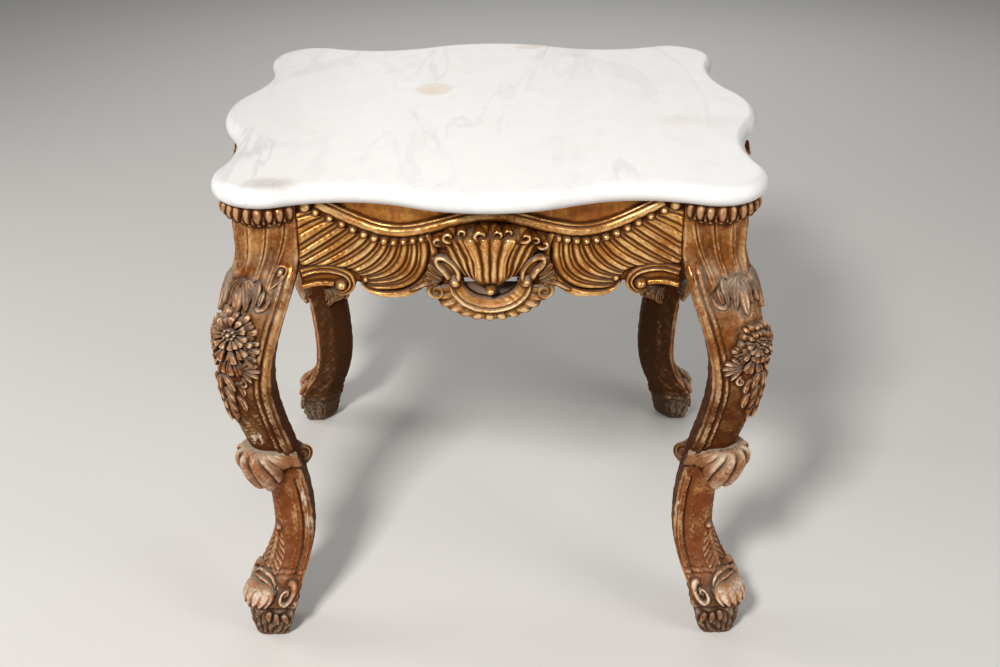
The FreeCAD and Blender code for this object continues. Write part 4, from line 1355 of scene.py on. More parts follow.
    def scallop(self) -> Shell:
        """Ribbed hood over the waist.

        At each place a across the corner the outside is an arc of an ellipse in the plane
        of the leg's normal and the vertical, from the rim down to the lip; the underside
        goes back up to the leg.

        Returns:
            Its closed surfaces.
        """
        shell, f = Shell(), self.form
        a = np.linspace(-self.hood_half, self.hood_half, 151)[None, :]
        share = np.abs(a) / (self.hood_half + 2.0)
        rim = self.hood_rim - 10.0 * share ** 2
        lip = self.hood_lip + 37.0 * ramp(0.13, 0.64, share)
        reach = 24.0 * (1.0 - ramp(0.14, 0.86, share)) + 4.0
        first, last = -88.0, 70.0
        steps = np.linspace(first, last, 40)[:, None]
        turn = np.radians(steps)
        gather = 0.62 + 0.38 * ramp(-80.0, 30.0, steps)
        phase = a / (14.0 * gather)
        fluted = 0.25 + 0.75 * ramp(42.0, 28.0, np.abs(a) / gather)
        rib = np.abs(np.cos(math.pi * phase)) ** 0.8 * fluted
        low = math.sin(math.radians(last))
        middle = lip + (rim - lip) * low / (1.0 + low)
        tall = rim - middle
        grow = ramp(-86.0, -40.0, steps)
        d = reach * np.cos(turn) ** 0.8 + 8.8 * (rib - 0.45 * fluted) * grow * (1.1 - share) + 1.2
        d = d + 1.6 * ramp(30.0, 64.0, steps) * (1.0 - share)
        z = middle - tall * np.sin(turn) - 6.5 * rib * ramp(15.0, 66.0, steps)
        inside = np.linspace(0.0, 1.0, 7)[1:, None]
        d_in = (d[-1:] - 2.5) * (1 - inside) - 4.0 * inside
        z_in = z[-1:] + 3.0 * np.minimum(inside * 3, 1) + (middle - z[-1:]) * 0.9 * inside
        depth = np.concatenate([d, d_in], 0)
        level = np.concatenate([z, z_in], 0)
        across = a + 0 * depth
        plumb = np.full_like(depth, self.waist_at + 6.0)
        off = lifted(f.ground, across, plumb, 0 * depth + 1.0) - f.ground(across, plumb)
        off[..., 2] = 0.0
        off /= np.linalg.norm(off, axis=-1, keepdims=True)
        front = f.ground(across, level) + depth[..., None] * off
        shell.plates(front, -0.6 * depth[..., None].clip(0) * off - 5.0 * off)
        return shell

    def scroll(self) -> Shell:
        """Curl inside the waist: a short roll across the diagonal with spirals on its ends.

        Round the roll's axis the profile runs from one end's middle over the band to the
        other; the spiral stands 1 + cos of (radius / pitch - turn) high.

        Returns:
            Its closed surfaces.
        """
        shell = Shell()
        radius = np.linspace(0.02, 1.0, 16) * self.scroll_radius
        around = np.linspace(0.0, 2 * math.pi, 72, endpoint=False)[:, None]
        pitch = 8.2

        def end(side: float) -> tuple[Array, Array]:
            """Distance from the roll's axis and along it, over the end of that side."""
            wave = 0.5 + 0.5 * np.cos(2 * math.pi * (radius / pitch) - side * around + 0.6)
            boss = ramp(4.2, 2.4, radius)
            high = np.maximum(wave ** 0.7, boss) * 3.2 - 2.0
            rim = ramp(14.0, 16.4, radius)
            return radius + 0 * around, self.scroll_half + high * (1 - rim) + rim * 0.6

        near_r, near_w = end(1.0)
        far_r, far_w = end(-1.0)
        across = np.linspace(1.0, -1.0, 17)[None, :] * (self.scroll_half - 0.8) + 0 * around
        share = np.abs(across) / self.scroll_half
        body = (self.scroll_radius - 2.2 + 2.2 * bump(share, 0.84, 0.16)
                - 0.6 * bump(share, 0.6, 0.1))
        r = np.concatenate([near_r, body, far_r[:, ::-1]], 1)
        w = np.concatenate([near_w, across, -far_w[:, ::-1]], 1)
        s = self.scroll_lean + r * np.cos(around)
        z = self.waist_at + r * np.sin(around)
        grid = np.stack([(s + w) / ROOT2, (s - w) / ROOT2, z], -1)
        shell.tubes(np.swapaxes(grid, 0, 1))
        return shell

    def foot(self) -> Shell:
        """Foot carving: a ribbed dome over the toe, its lids, side curls and leaf tips.

        Returns:
            Its closed surfaces.
        """
        shell, g = Shell(), self.form.ground
        u = np.linspace(-1.0, 1.0, 41)[None, :]
        t = np.linspace(0.0, 1.0, 30)[:, None]
        lobes = np.abs(np.cos(u * 3.5 * math.pi)) ** 0.6
        half = 35.0 * np.sin(math.pi * np.clip(0.16 + 0.60 * t, 0, 1)) ** 0.7
        a = u * half
        b = self.toe_top - (29.0 + 4.0 * lobes) * t + 2.0 * (u * u) * (1 - t)
        dome = np.sin(math.pi * (0.06 + 0.80 * t)) ** 0.6 * (1 - 0.72 * u ** 4)
        d = 14.0 * dome + 3.2 * lobes * t ** 1.5 * ramp(1.0, 0.85, np.abs(u)) - 1.5
        shell.ribbons(g, a, b, d, 4.0)
        for start, wide, proud in ((100.0, 33.0, 4.6), (109.0, 29.0, 3.8)):
            k = np.linspace(-1.0, 1.0, 34)
            path = np.stack([k * wide, start - 20.0 * np.abs(k) ** 2.6], -1)
            shell.moulding(g, path, 3.0 * (1 - 0.4 * np.abs(k)), 1.2, proud)
        for side in (-1.0, 1.0):
            eye = np.array([side * self.eye[0], self.eye[1]])
            path = spiral((0.0, 0.0), 12.5, 90.0 + side * 15.0, -side * 1.25, 70, 0.25)
            path = eye + path * [1.0, 1.45]
            shell.moulding(g, path, np.linspace(4.6, 2.2, 70), 2.4, 5.0, sink=4.0, flank=1.08)
            shell.eggs(g, eye[0], eye[1], 4.0, 5.6, 1.5)
            root = np.array([[side * 30.0, 55.0], [side * 40.0, 50.0], [side * 52.0, 49.0]])
            tip = root + [[side * -2.0, -18.0], [side * 2.0, -19.0], [side * 5.0, -16.0]]
            shell.leaves(g, (root, (root + tip) / 2, tip), 4.4, (9, 7, 0.4, 0.35),
                         (2.0, 1.8, 0.0, 0.0))
        shell.eggs(g, [2.0, 0.0], [181.0, 110.0], [6.5, 5.0], [7.0, 4.0], 0.9)
        return shell

    def build(self) -> None:
        """Draws every carved piece once and works out the relief values together."""
        for name, shell in (("leg", self.shaft()), ("capital", self.capital()),
                            ("left_knee", self.knee(-1)), ("right_knee", self.knee(1)),
                            ("waist_scallop", self.scallop()),
                            ("waist_scroll", self.scroll()), ("foot_carving", self.foot())):
            self.meshes[name] = shell.hand_cut(0.22, 9.0, 5).mesh(name)
        others = [mesh for name, mesh in self.meshes.items() if "knee" not in name]
        for knee in ("left_knee", "right_knee"):
            mark_relief(others + [self.meshes[knee]])
        mark_bare(self.meshes["leg"], (1 / ROOT2, 1 / ROOT2), -0.75)

    def place(self, corner: Corner, finishes: dict[str, Material]) -> None:
        """Mirrors the pieces to a corner, in place of the frame's solids there.

        Args:
            corner: where the leg stands.
            finishes: material of each part.
        """
        sx, sy = corner.value
        move = (Matrix.Diagonal((sx, sy, 1.0, 1.0))
                @ Matrix.Translation(Vector((*self.axis, 0.0)) * MM))
        spare = "left_knee" if sx > 0 else "right_knee"
        for part, mesh in self.meshes.items():
            if part == spare:
                continue
            part = "knee_flower" if part.endswith("_knee") else part
            node = part if part in ("capital", "knee_flower") else "leg"
            name = f"{corner.node}_{part}" + ("_carved" if part == node else "")
            finish_piece(name, carried(mesh, name, move), finishes[part], "frame",
                         [f"{corner.node}_{node}"])


# ---------- friezes
@dataclass
class Frieze:
    """One side's frieze, drawn with x along it, its face outwards and z up.

    The face follows the serpentine: an outward arc in the middle and an inward one towards
    each leg, touching where they meet.
    """

    side: Side
    half: float
    back: float
    dip: tuple[float, float]
    dip_radius: float
    face_out: float
    top: float = 730.0
    middle: float = 90.0
    drawn_half: float = 264.0
    knots: tuple[float, ...] = (0.0, 40.0, 52.0, 62.0, 90.0, 115.0, 137.0, 160.0, 176.0, 186.0,
                                198.0, 211.0, 224.0, 240.0, 264.0)
    low: tuple[float, ...] = (624.0, 624.0, 614.0, 607.0, 606.0, 598.0, 593.0, 593.0, 600.0,
                              606.0, 600.0, 596.0, 600.0, 602.0, 602.0)
    shell_low: float = 612.0
    shell_high: float = 700.0
    cradle_at: float = 618.0
    pleats: int = 13

    def squeeze(self, x: Array) -> Array:
        """Drawn x to real x: the cartouche keeps its width and the wings take the rest."""
        share = (self.half - self.middle) / (self.drawn_half - self.middle)
        past = np.abs(x) - self.middle
        return np.where(past > 0, np.sign(x) * (self.middle + past * share), x)

    def face(self, x: Array) -> Array:
        """Distance of the face from the table's middle at x along the frieze."""
        reach = self.dip[1] - self.face_out
        r = self.dip_radius
        belly = (self.dip[0] ** 2 + reach ** 2 - r ** 2) / (2 * (r - reach))
        join = self.dip[0] * belly / (belly + r)
        near = self.face_out - belly + np.sqrt(np.clip(belly ** 2 - x * x, 0, None))
        far = self.dip[1] - np.sqrt(np.clip(r * r - (np.abs(x) - self.dip[0]) ** 2, 0, None))
        return np.where(np.abs(x) < join, near, far)

    def ground(self, x: Array, z: Array) -> Array:
        """Point of the face in the table's frame at drawn x and height z."""
        x, z = np.broadcast_arrays(np.asarray(x, float), np.asarray(z, float))
        x = self.squeeze(x)
        return self.at(x, self.face(x), z)

    def at(self, x: Array, out: Array, z: Array) -> Array:
        """Point in the table's frame from the distance along, outwards and up."""
        (ax, ay), (ox, oy) = self.side.value
        return np.stack([x * ax + out * ox, x * ay + out * oy, z + 0 * x], -1)

    def low_edge(self, x: Array) -> Array:
        """Height of the board's lower edge at drawn x."""
        return np.interp(np.abs(x), self.knots, self.low)

    def board(self) -> Shell:
        """The frieze board: its bent face and flat back between the legs."""
        x = np.linspace(-self.drawn_half, self.drawn_half, 211)[None, :]
        t = np.linspace(0.0, 1.0, 44)[:, None]
        z = self.low_edge(x) + t * (self.top - 0.2 - self.low_edge(x))
        d = 0.5 * uneven(np.stack([x + 0 * z, z], -1), 40.0, 3)
        front = lifted(self.ground, x + 0 * z, z, d)
        back = self.at(self.squeeze(x) + 0 * z, np.full_like(z, self.back), z)
        shell = Shell()
        shell.slab(front, back)
        return shell

    def wave_path(self) -> Array:
        """Middle line of the serpentine moulding."""
        marks = [(0.0, 718.0), (26.0, 715.5), (58.0, 706.0), (90.0, 695.5), (122.0, 688.5),
                 (150.0, 689.0), (180.0, 698.0), (208.0, 711.0), (236.0, 727.0)]
        marks = [(-x, z) for x, z in marks[:0:-1]] + marks
        return through(marks, 150)

    def wave(self) -> Shell:
        """Serpentine moulding: a bold round below and a fine fillet above it."""
        shell = Shell()
        a, b, _, v = band(self.wave_path(), 8.6, 19)
        d = 2.0 + 5.4 * bump(v, -0.26, 0.74) + 2.2 * bump(v, 0.76, 0.22)
        b = np.minimum(b, self.top - 0.3)
        shell.ribbons(self.ground, a, b, d)
        return shell

    def bead_places(self) -> Array:
        """Middles of the beads below the moulding on the right-hand half, leg first."""
        return np.array([(238, 713.5), (219.5, 704), (203, 694.5), (188, 686.5), (173, 679.5),
                         (158.5, 674.5), (144.5, 671.5), (130.5, 671.5), (117, 674), (104, 677),
                         (91.5, 680.5)])

    def beads(self) -> Shell:
        """Row of beads under the moulding, and the bead where each wing gathers."""
        shell = Shell()
        row = self.bead_places()
        x, z = np.concatenate([row, row * [-1.0, 1.0], [(174.0, 612.0), (-174.0, 612.0),
                                                        (252.0, 722.0), (-252.0, 722.0)]]).T
        size = np.concatenate([np.full(2 * len(row), 6.1), [5.8, 5.8, 8.0, 8.0]])
        shell.eggs(self.ground, x, z - 0.4, size, 10.0, 0.96, 0.0, 0.0)
        return shell

    def wing(self, shell: Shell, hand: float) -> None:
        """Gadrooned wing.

        Across the ribs s runs from 0 at the leg to 11 at the rim; each rib's line is the
        quadratic curve from its bead, by its bend, to its end, and start, bend and end are
        smooth curves of s.  The height is a round for each rib with a fine groove beside.

        Args:
            shell: the wings, which it joins.
            hand: -1 for the left wing, 1 for the right one.
        """
        start = self.bead_places() + [0.5, -3.0]
        ribs = len(start)
        knots = np.arange(ribs) + 0.5
        end = np.array([(263.5, 704), (263.5, 678), (263.5, 656), (263.5, 639), (244, 634),
                        (217, 631), (192, 625), (184, 618), (180, 613), (177, 608), (173, 601)])
        bend = np.array([(252, 709), (243, 690), (235, 671), (225, 655), (204, 647), (180, 642),
                         (160, 637), (144, 627), (124, 617), (101, 607), (84, 597)])
        s = np.linspace(0.0, ribs - 0.02, 133)
        ends = [smooth_curve(np.concatenate([[-0.35], knots, [ribs]]),
                             np.concatenate([[extra[0]], rows, [extra[1]]]), s)
                for rows, extra in ((start, ((250.0, 721.0), (83.5, 683.0))),
                                    (bend, ((257.0, 722.0), (73.0, 589.0))),
                                    (end, ((263.5, 720.0), (172.0, 596.5))))]
        t = np.linspace(0.0, 1.0, 44)[:, None, None]
        p = (1 - t) ** 2 * ends[0] + 2 * t * (1 - t) * ends[1] + t * t * ends[2]
        phase = (s - np.floor(s))[None, :]
        t = t[..., 0]
        round_ = bump(phase, 0.66, 0.31) * 5.0 + bump(phase, 0.18, 0.165) * 3.6
        fade = ramp(1.03, 0.9, t) * 0.45 + 0.55
        swell = 2.4 - 1.2 * np.sin(math.pi * t) * (0.3 + 0.7 * s / ribs)
        shell.ribbons(self.ground, hand * p[..., 0], p[..., 1], swell + round_ * fade, full=True)

    def wings(self) -> Shell:
        """Both gadrooned wings with the rims round their inner lobes."""
        shell = Shell()
        for hand in (-1.0, 1.0):
            self.wing(shell, hand)
            rim = through([(84, 688), (78, 676), (75.5, 660), (79, 640), (89, 620), (104, 604),
                           (122, 594), (142, 590), (160, 591), (174, 598), (180, 606)], 90)
            share = np.linspace(0.0, 1.0, 90)
            wide = 5.6 * (0.45 + 0.55 * np.sin(math.pi * np.clip(share * 1.05, 0, 1)) ** 0.6)
            shell.moulding(self.ground, rim, wide, 4.4, 5.0, 11, 5.0, hand, crest=0.1)
        return shell

    def scrolls(self) -> Shell:
        """C scroll over each joint with the leg, its eye and the fillet below.

        Returns:
            Its closed surfaces.
        """
        shell = Shell()
        for hand in (-1.0, 1.0):
            path = through([(263.8, 624), (249, 627.5), (232, 628), (214, 624.5), (200, 616.5),
                            (194, 605), (198, 594.5), (208, 589), (219, 592)], 100)
            share = np.linspace(0.0, 1.0, 100)
            wide = np.interp(share, (0, 0.45, 0.8, 1.0), (5.2, 5.6, 4.6, 2.2))
            a, b, _, v = band(path, wide, 15)
            d = 3.4 + 3.6 * bump(v, 0.62, 0.40) + 1.9 * bump(v, -0.55, 0.46)
            shell.ribbons(self.ground, hand * a, b, d, 5.0)
            shell.eggs(self.ground, hand * 210.0, 600.5, 10.2, 14.5, 0.85)
            path = through([(263.8, 602), (248, 604.5), (232, 604.5), (220, 602.5)], 40)
            shell.moulding(self.ground, path, 3.4, 1.8, 3.0, sink=5.0, hand=hand)
        return shell

    def fan(self) -> Shell:
        """Scallop shell of the cartouche.

        Across it s runs from -1 to 1 and up it t from 0 to 1: x = s times a width that
        flares with t, z rises with t less a sag, and the height is a bowl with nine ribs.

        Returns:
            Its closed surfaces.
        """
        shell = Shell()
        s = np.linspace(-1.0, 1.0, 161)[None, :]
        t = np.linspace(0.0, 1.0, 56)[:, None]
        wide = 28.0 + 37.0 * t ** 0.75 + 6.0 * ramp(0.8, 1.0, t)
        fold = 0.43 + 0.05 * np.sin(2.6 * math.pi * t + 0.6) + 0 * s
        inner = np.abs(s) < fold
        phase = np.where(inner, s / fold * 2.0, 2.0 + (np.abs(s) - fold) / (1.0 - fold) * 3.2)
        rib = np.abs(np.sin(math.pi * phase)) ** 0.9
        x = s * wide * (1 + 0.06 * np.sin(math.pi * t))
        floor = self.shell_low + 14.0 * s ** 2
        crown = self.shell_high - 15.0 * s ** 2 + 3.0 * rib
        z = floor + (crown - floor) * t
        bowl = 4.0 + 15.0 * np.sin(math.pi * (0.10 + 0.62 * t)) * (1 - 0.55 * s ** 2)
        past = np.abs(s) - fold
        step = 7.0 * ramp(0.03, -0.01, past) + 3.0 * bell(past, 0.0, 0.035)
        curl = 5.0 * ramp(0.70, 0.90, t) - 15.0 * ramp(0.90, 1.0, t) ** 1.5
        d = (bowl + curl + rib * (3.4 + 2.2 * t) * ramp(0.0, 0.12, t)
             + step * ramp(0.04, 0.30, t))
        d = d * (0.45 + 0.55 * ramp(0.0, 0.16, t))
        shell.ribbons(self.ground, x, z, d, 3.0)
        shell.eggs(self.ground, 0.0, self.shell_low - 3.0, 7.2, 16.0, 1.0, 0.0, -0.2)
        return shell

    def ruffles(self) -> Shell:
        """Three clusters of curled ruffles along the shell's crest: a boss under each curl.

        Returns:
            Its closed surfaces.
        """
        shell = Shell()
        at = np.array([(-68, 681, 11.5, 18, 0.7), (-53, 691.5, 11, 22, -0.9),
                       (-37, 698, 8, 22, 0.9), (-11, 697.5, 12.5, 29, -0.8),
                       (9, 699.5, 9.5, 28.5, 0.9), (24, 699.5, 7.5, 25, -0.9),
                       (45, 692, 10.5, 26, 0.9), (58.5, 686, 8.5, 23, -0.9),
                       (70, 677, 10, 18, 0.8)])
        for x, z, r, high, turns in at:
            shell.eggs(self.ground, x, z, r, high - 2.0, 0.80, math.radians(-x * 0.9), 0.0)
            path = spiral((0.0, 0.0), r * 0.74, 250.0 - x, turns, 26, 0.35)
            path = path * [1.0, 0.85] + [x, z + 1.5]
            shell.moulding(self.ground, path, r * np.linspace(0.30, 0.20, 26), high - 1.0, 3.4)
        return shell

    def cradle(self) -> Shell:
        """C-shaped moulding that carries the shell, its eyes and the pleated fringe below.

        Returns:
            Its closed surfaces.
        """
        shell = Shell()
        turn = np.linspace(math.radians(-4.0), math.radians(184.0), 90)
        path = np.stack([46.0 * np.cos(turn), self.cradle_at - 33.0 * np.sin(turn)], -1)
        a, b, _, v = band(path, 8.8, 21)
        d = 9.0 + 4.4 * bump(v, 0.72, 0.30) + 1.6 * bump(v, 0.20, 0.13) + 3.6 * v
        shell.ribbons(self.ground, a, b, d, 8.0)
        shell.eggs(self.ground, [-48.0, 48.0], self.cradle_at + 3.0, 9.8, 19.0, 1.0, 0.0, 0.0)
        turn = np.linspace(math.radians(8.0), math.radians(172.0), 181)[None, :]
        t = np.linspace(0.0, 1.0, 20)[:, None]
        phase = (turn - turn.min()) / (turn.max() - turn.min()) * self.pleats
        share = phase - np.floor(phase)
        pleat = bump(share, 0.60, 0.40) + 0.45 * bump(share, 0.10, 0.10)
        x = (50.0 + (34.0 + 2.0 * pleat) * t) * np.cos(turn)
        z = self.cradle_at - (37.0 + (19.0 + 2.0 * pleat) * t) * np.sin(turn)
        d = 4.0 + 4.8 * pleat * (0.3 + 0.7 * t) + 4.0 * np.sin(math.pi * t * 0.8) - 5.0 * t ** 3
        shell.ribbons(self.ground, x, z, d, 9.0)
        return shell

    def rocaille(self) -> Shell:
        """Leaf scrolls beside the shell: the looped ears, the outer curls and small leaves.

        Returns:
            Its closed surfaces.
        """
        shell, g = Shell(), self.ground
        for hand in (-1.0, 1.0):
            ear = through([(44, 622), (43, 636), (50, 649), (62, 656.5), (71, 655), (70, 646),
                           (62, 637), (55, 626)], 70)
            shell.moulding(g, ear, 3.6, 11.0, 4.4, sink=3.0, hand=hand)
            inner = through([(50, 622), (54, 636), (64, 649)], 20)
            a, b, _, v = band(inner, 7.0, 9)
            shell.ribbons(g, hand * a, b, 7.0 + 1.5 * v ** 2, 3.0)
            curl = spiral((73.0, 604.0), 11.5, 96.0, -1.6, 60, 0.22)
            tail = through([(108, 603), (98, 609), (88, 614.5), (78, 616)], 24)
            path = np.concatenate([tail, curl])
            wide = np.concatenate([np.linspace(1.6, 4.4, 24), np.linspace(4.4, 2.0, 60)])
            shell.moulding(g, path, wide, 7.0, 4.2, sink=6.0, hand=hand)
            shell.eggs(g, hand * 73.0, 604.0, 4.2, 12.0)
            root = np.array([(60, 634), (63, 628), (66, 622), (69, 618)])
            tip = np.array([(77, 656), (82, 645), (85, 634), (88, 624)])
            bend = (root + tip) / 2 + [(4.0, -5.0), (5.0, -4.0), (5.0, -3.0), (4.0, -2.0)]
            flip = np.array([[hand, 1.0]])
            a, b, u, v = leaf(root * flip, bend * flip, tip * flip, 4.6, 11, 7, 0.62, 0.35)
            shell.ribbons(g, a, b, 7.0 + 3.2 * bump(v, 0.0, 1.05)
                          - 1.6 * bell(v, 0.0, 0.2) + 1.6 * u, 3.0)
        return shell

    def build(self, gilt: dict[str, Material]) -> None:
        """Makes the pieces and puts them in place of the frieze and its cartouche.

        Args:
            gilt: material of each kind of surface.
        """
        frieze, cartouche = f"{self.side.node}_frieze", f"{self.side.node}_cartouche"
        plan = (("board", self.board(), "field", frieze), ("wave", self.wave(), "gilt", frieze),
                ("beads", self.beads(), "gilt", frieze), ("wings", self.wings(), "gilt", frieze),
                ("scrolls", self.scrolls(), "gilt", frieze),
                ("shell", self.fan(), "gilt", cartouche),
                ("ruffles", self.ruffles(), "crest", cartouche),
                ("cradle", self.cradle(), "dusty", cartouche),
                ("rocaille", self.rocaille(), "dusty", cartouche))
        made = []
        for name, shell, finish, node in plan:
            mesh = shell.hand_cut(0.25, 11.0, 7).mesh(name)
            made.append((f"{self.side.node}_{name}", mesh, finish, node))
        mark_relief([mesh for _, mesh, _, _ in made])
        for name, mesh, finish, node in made:
            mark_bare(mesh, self.side.value[1], -0.7)
            finish_piece(name, mesh, gilt[finish], "frame", [node])


# ---------- marble
@dataclass
class Top:
    """Loose marble slab: round lobes over the legs, hollows and swelling sides between."""

    size: tuple[float, float, float] = (820.0, 730.0, 30.0)
    height: float = 760.0
    lobe: tuple[float, float, float] = (308.0, 270.0, 73.0)
    dip_from_lobe: tuple[float, float] = (108.0, 90.0)
    dip_depth: float = 43.0
    nose: float = 14.5

    def side_arcs(self, swap: bool) -> tuple[Array, float, Array, float]:
        """Circles of the hollow and the belly on the rear side or the right one.

        The hollow's circle touches the lobe's from outside and passes its deepest point;
        the belly's touches the hollow's and passes the middle of the side.

        Args:
            swap: True for the right side, with X and Y changed over.

        Returns:
            The hollow's centre and radius, then the belly's.
        """
        lx, ly, r = self.lobe
        if swap:
            lx, ly = ly, lx
        out = self.size[0 if swap else 1] / 2
        back = self.dip_from_lobe[1 if swap else 0]
        at, deep = lx - back, out - self.dip_depth
        gap = deep - ly
        hollow = (back ** 2 + gap ** 2 - r ** 2) / (2 * (r - gap))
        centre = np.array([at, deep + hollow])
        rise = centre[1] - out
        belly = (at ** 2 + rise ** 2 - hollow ** 2) / (2 * (hollow - rise))
        return centre, hollow, np.array([0.0, out - belly]), belly

    @staticmethod
    def arc(centre: Array, radius: float, first: Array, last: Array, count: int) -> Array:
        """Points on the shorter arc between the directions of two points."""
        a0 = math.atan2(first[1] - centre[1], first[0] - centre[0])
        a1 = math.atan2(last[1] - centre[1], last[0] - centre[0])
        a1 = a0 + (a1 - a0 + math.pi) % (2 * math.pi) - math.pi
        t = np.linspace(a0, a1, count, endpoint=False)
        return centre + radius * np.stack([np.cos(t), np.sin(t)], -1)

    def quarter(self) -> Array:
        """Outline from the middle of the rear side to the middle of the right side.

        Returns:
            Points of shape (n, 2).
        """
        lobe, radius = np.array(self.lobe[:2]), self.lobe[2]
        sides, angles = [], []
        for step in (1, -1):
            hollow, hollow_radius, belly, belly_radius = self.side_arcs(step < 0)
            own = lobe[::step]
            meet = belly + (hollow - belly) * belly_radius / np.linalg.norm(hollow - belly)
            end = own + (hollow - own) * radius / np.linalg.norm(hollow - own)
            sides.append(np.concatenate([
                self.arc(belly, belly_radius, belly + [0.0, belly_radius], meet, 26),
                self.arc(hollow, hollow_radius, meet, end, 34)])[:, ::step])
            angles.append(math.atan2(*(end[::step] - lobe)[::-1]))
        t = np.linspace(*angles, 60)
        over_leg = lobe + radius * np.stack([np.cos(t), np.sin(t)], -1)
        return np.concatenate([sides[0], over_leg, sides[1][:0:-1]])

    def outline(self) -> Array:
        """The whole outline, once round clockwise from the middle of the rear side."""
        q = self.quarter()
        half = np.concatenate([q, [(self.size[0] / 2, 0.0)], q[::-1] * [1.0, -1.0]])
        return np.concatenate([half[:-1], half[::-1][:-1] * [-1.0, 1.0]])

    def slab(self) -> Shell:
        """The slab: the outline moved inwards round the bullnose, then rings to the middle.

        Returns:
            Its closed surfaces.
        """
        line = self.outline()
        way = np.roll(line, -1, 0) - np.roll(line, 1, 0)
        way /= np.linalg.norm(way, axis=1, keepdims=True)
        inward = np.stack([way[:, 1], -way[:, 0]], -1)
        nose, low, high = self.nose, self.height - self.size[2], self.height
        turn = np.linspace(0.0, math.pi / 2, 9)

        def ring(inset: float, z: float, share: float = 1.0) -> Array:
            """The outline moved inwards by inset, shrunk to share, at height z."""
            return np.concatenate([(line + inward * inset) * share,
                                   np.full((len(line), 1), z)], 1)

        under = [ring(nose, low, share) for share in (0.05, 0.35, 0.65, 0.9)]
        edge = [ring(nose * (1 - math.sin(t)), low + nose * (1 - math.cos(t))) for t in turn]
        edge += [ring(nose * (1 - math.cos(t)), high - nose * (1 - math.sin(t))) for t in turn]
        over = [ring(nose, high, share) for share in (0.97, 0.9, 0.75, 0.55, 0.35, 0.15, 0.03)]
        grid = np.stack(under + edge + over)
        rim = slice(len(under), len(under) + len(edge))
        grid[rim, :, :2] += 0.25 * uneven(grid[rim], 70.0, 9)[..., None] * inward
        shell = Shell()
        shell.tubes(grid)
        return shell

    def build(self, marble: Material) -> None:
        """Makes the slab in place of the frame's marble."""
        finish_piece("marble_slab", self.slab().mesh("marble_slab"), marble, "top",
                     ["marble_top"])


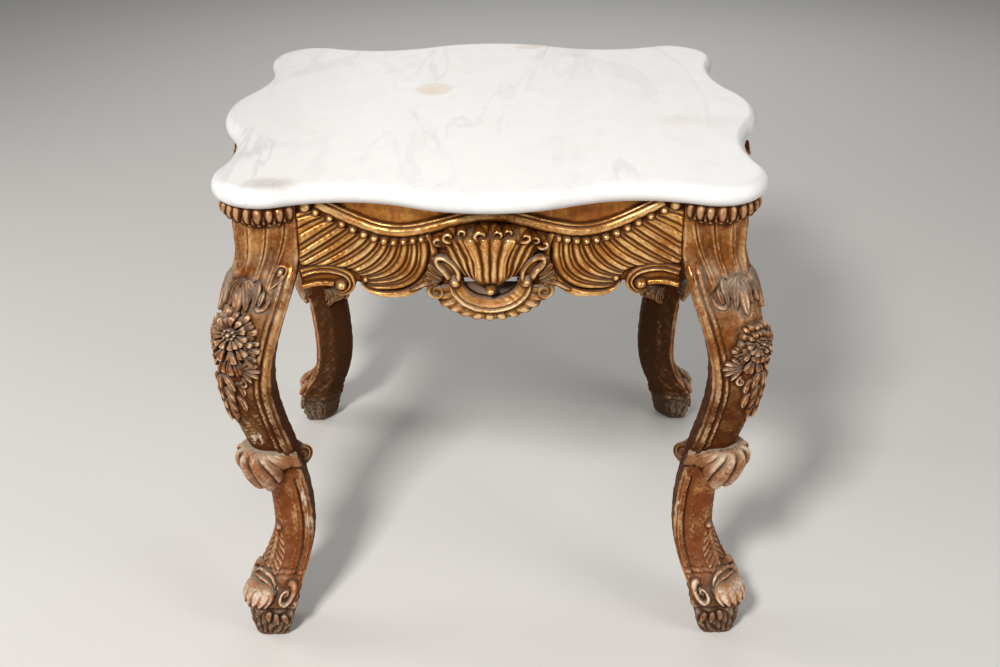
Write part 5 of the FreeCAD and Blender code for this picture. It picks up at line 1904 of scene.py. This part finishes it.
# ---------- studio
@dataclass(frozen=True)
class Studio:
    """Camera, pale floor and soft lights."""

    lens: float = 46.08
    eye: tuple[float, float, float] = (20.0, -1912.0, 1396.0)
    pitch: float = 28.46
    yaw: float = -0.27
    roll: float = -0.44
    floor_colour: Colour = (0.72, 0.71, 0.69)
    sky: Colour = (0.89, 0.89, 0.89)
    sky_strength: float = 0.17
    floor_mottle: Colour = (0.70, 0.69, 0.67)
    floor_half: float = 9.0
    aim: Colour = (0.0, 0.0, 0.4)
    lamps: tuple[tuple[str, Colour, float, float, Colour], ...] = (   # at, size, watts, colour
        ("key", (-0.9, -2.5, 2.75), 0.55, 106.0, (1.0, 0.965, 0.92)),
        ("fill", (2.2, -1.6, 1.5), 1.2, 20.0, (1.0, 0.98, 0.96)),
        ("left", (-2.6, 0.4, 1.5), 1.2, 20.0, (1.0, 0.98, 0.96)),
        ("back", (0.3, 3.2, 2.4), 2.4, 30.0, (1.0, 0.99, 0.97)))

    def camera(self) -> None:
        """Camera that looks down by pitch, turned by yaw and rolled about its view."""
        turns = ((-self.yaw, "Z"), (90.0 - self.pitch, "X"), (self.roll, "Z"))
        data = bpy.data.cameras.new("camera")
        data.lens, data.sensor_width = self.lens, 36.0
        data.clip_start, data.clip_end = 0.05, 30.0
        camera = bpy.data.objects.new("camera", data)
        move = Matrix.Translation(Vector(self.eye) * MM)
        for angle, axis in turns:
            move = move @ Matrix.Rotation(math.radians(angle), 4, axis)
        camera.matrix_world = move
        bpy.context.scene.collection.objects.link(camera)
        bpy.context.scene.camera = camera

    def floor(self) -> None:
        """Wide pale floor."""
        side = self.floor_half
        mesh = bpy.data.meshes.new("floor")
        mesh.from_pydata([(-side, -side, 0), (side, -side, 0), (side, side, 0),
                          (-side, side, 0)], [], [(0, 1, 2, 3)])
        s = Shader("studio_floor")
        tone = s.noise(3.0, 2.0, 0.5) * 0.03
        colour = s.mix(self.floor_colour, self.floor_mottle, tone)
        mesh.materials.append(s.surface(Base_Color=colour, Roughness=0.8,
                                        Specular_IOR_Level=0.2))
        floor = bpy.data.objects.new("floor", mesh)
        bpy.context.scene.collection.objects.link(floor)

    def lamp(self, name: str, at: Colour, size: float, power: float, colour: Colour) -> None:
        """Square soft light that looks at the middle of the table."""
        data = bpy.data.lights.new(name, "AREA")
        data.size, data.energy, data.color = size, power, colour
        lamp = bpy.data.objects.new(name, data)
        lamp.location = at
        look = Vector(self.aim) - Vector(at)
        lamp.rotation_euler = look.to_track_quat("-Z", "Y").to_euler()
        bpy.context.scene.collection.objects.link(lamp)

    def build(self) -> None:
        """Sets up the whole studio."""
        scene = bpy.context.scene
        scene.view_settings.view_transform = "Standard"
        world = bpy.data.worlds.new("studio")
        world.use_nodes = True
        back = world.node_tree.nodes["Background"]
        back.inputs["Color"].default_value = (*self.sky, 1.0)
        back.inputs["Strength"].default_value = self.sky_strength
        scene.world = world
        self.camera()
        self.floor()
        for lamp in self.lamps:
            self.lamp(*lamp)


@dataclass
class PierTable:
    """The whole table: its sub-assemblies in the order they are built."""

    leg: Leg = field(default_factory=Leg)
    marble: Top = field(default_factory=Top)

    def friezes(self) -> list[Frieze]:
        """The four friezes: two long ones and two short ones."""
        long = dict(half=264.0, back=270.0, dip=(200.0, 537.2), dip_radius=240.2,
                    face_out=326.0)
        short = dict(half=226.0, back=315.0, dip=(180.0, 590.3), dip_radius=248.3,
                     face_out=371.0)
        return [Frieze(Side.FRONT, **long), Frieze(Side.REAR, **long),
                Frieze(Side.LEFT, **short), Frieze(Side.RIGHT, **short)]

    def inside(self) -> None:
        """Gives the joinery that the frame already shapes its wood and steel."""
        timber = Timber("block_timber").material()
        pegs = Timber("peg_timber", dark=(0.12, 0.06, 0.03), light=(0.26, 0.15, 0.08)).material()
        steel = ScrewSteel().material()
        finishes = {"corner_block": timber, "mortise_pegs": pegs, "block_screws": steel}
        for node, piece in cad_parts.items():
            for part, finish in finishes.items():
                if node.endswith(part):
                    piece.data.materials.clear()
                    piece.data.materials.append(finish)

    def build(self) -> None:
        """Builds everything and logs each sub-assembly."""
        self.marble.build(Marble().material())
        LOG.info("marble top done")
        leg_gilt, flower = LEG_GILT.material(), FLOWER_GILT.material()
        finishes = {"leg": leg_gilt, "capital": CAPITAL_GILT.material(), "knee_flower": flower,
                    "waist_scallop": SHELL_GILT.material(), "waist_scroll": leg_gilt,
                    "foot_carving": FOOT_GILT.material()}
        self.leg.build()
        for corner in Corner:
            self.leg.place(corner, finishes)
        LOG.info("legs done")
        gilt = {"gilt": FRIEZE_GILT.material(), "field": FIELD_GILT.material(),
                "crest": CREST_GILT.material(), "dusty": CRADLE_GILT.material()}
        for frieze in self.friezes():
            frieze.build(gilt)
        LOG.info("friezes done")
        self.inside()


def main() -> None:
    """Builds the studio and the table."""
    logging.basicConfig(level=logging.INFO, format="%(message)s")
    Studio().build()
    PierTable().build()


if __name__ == "__main__":
    main()
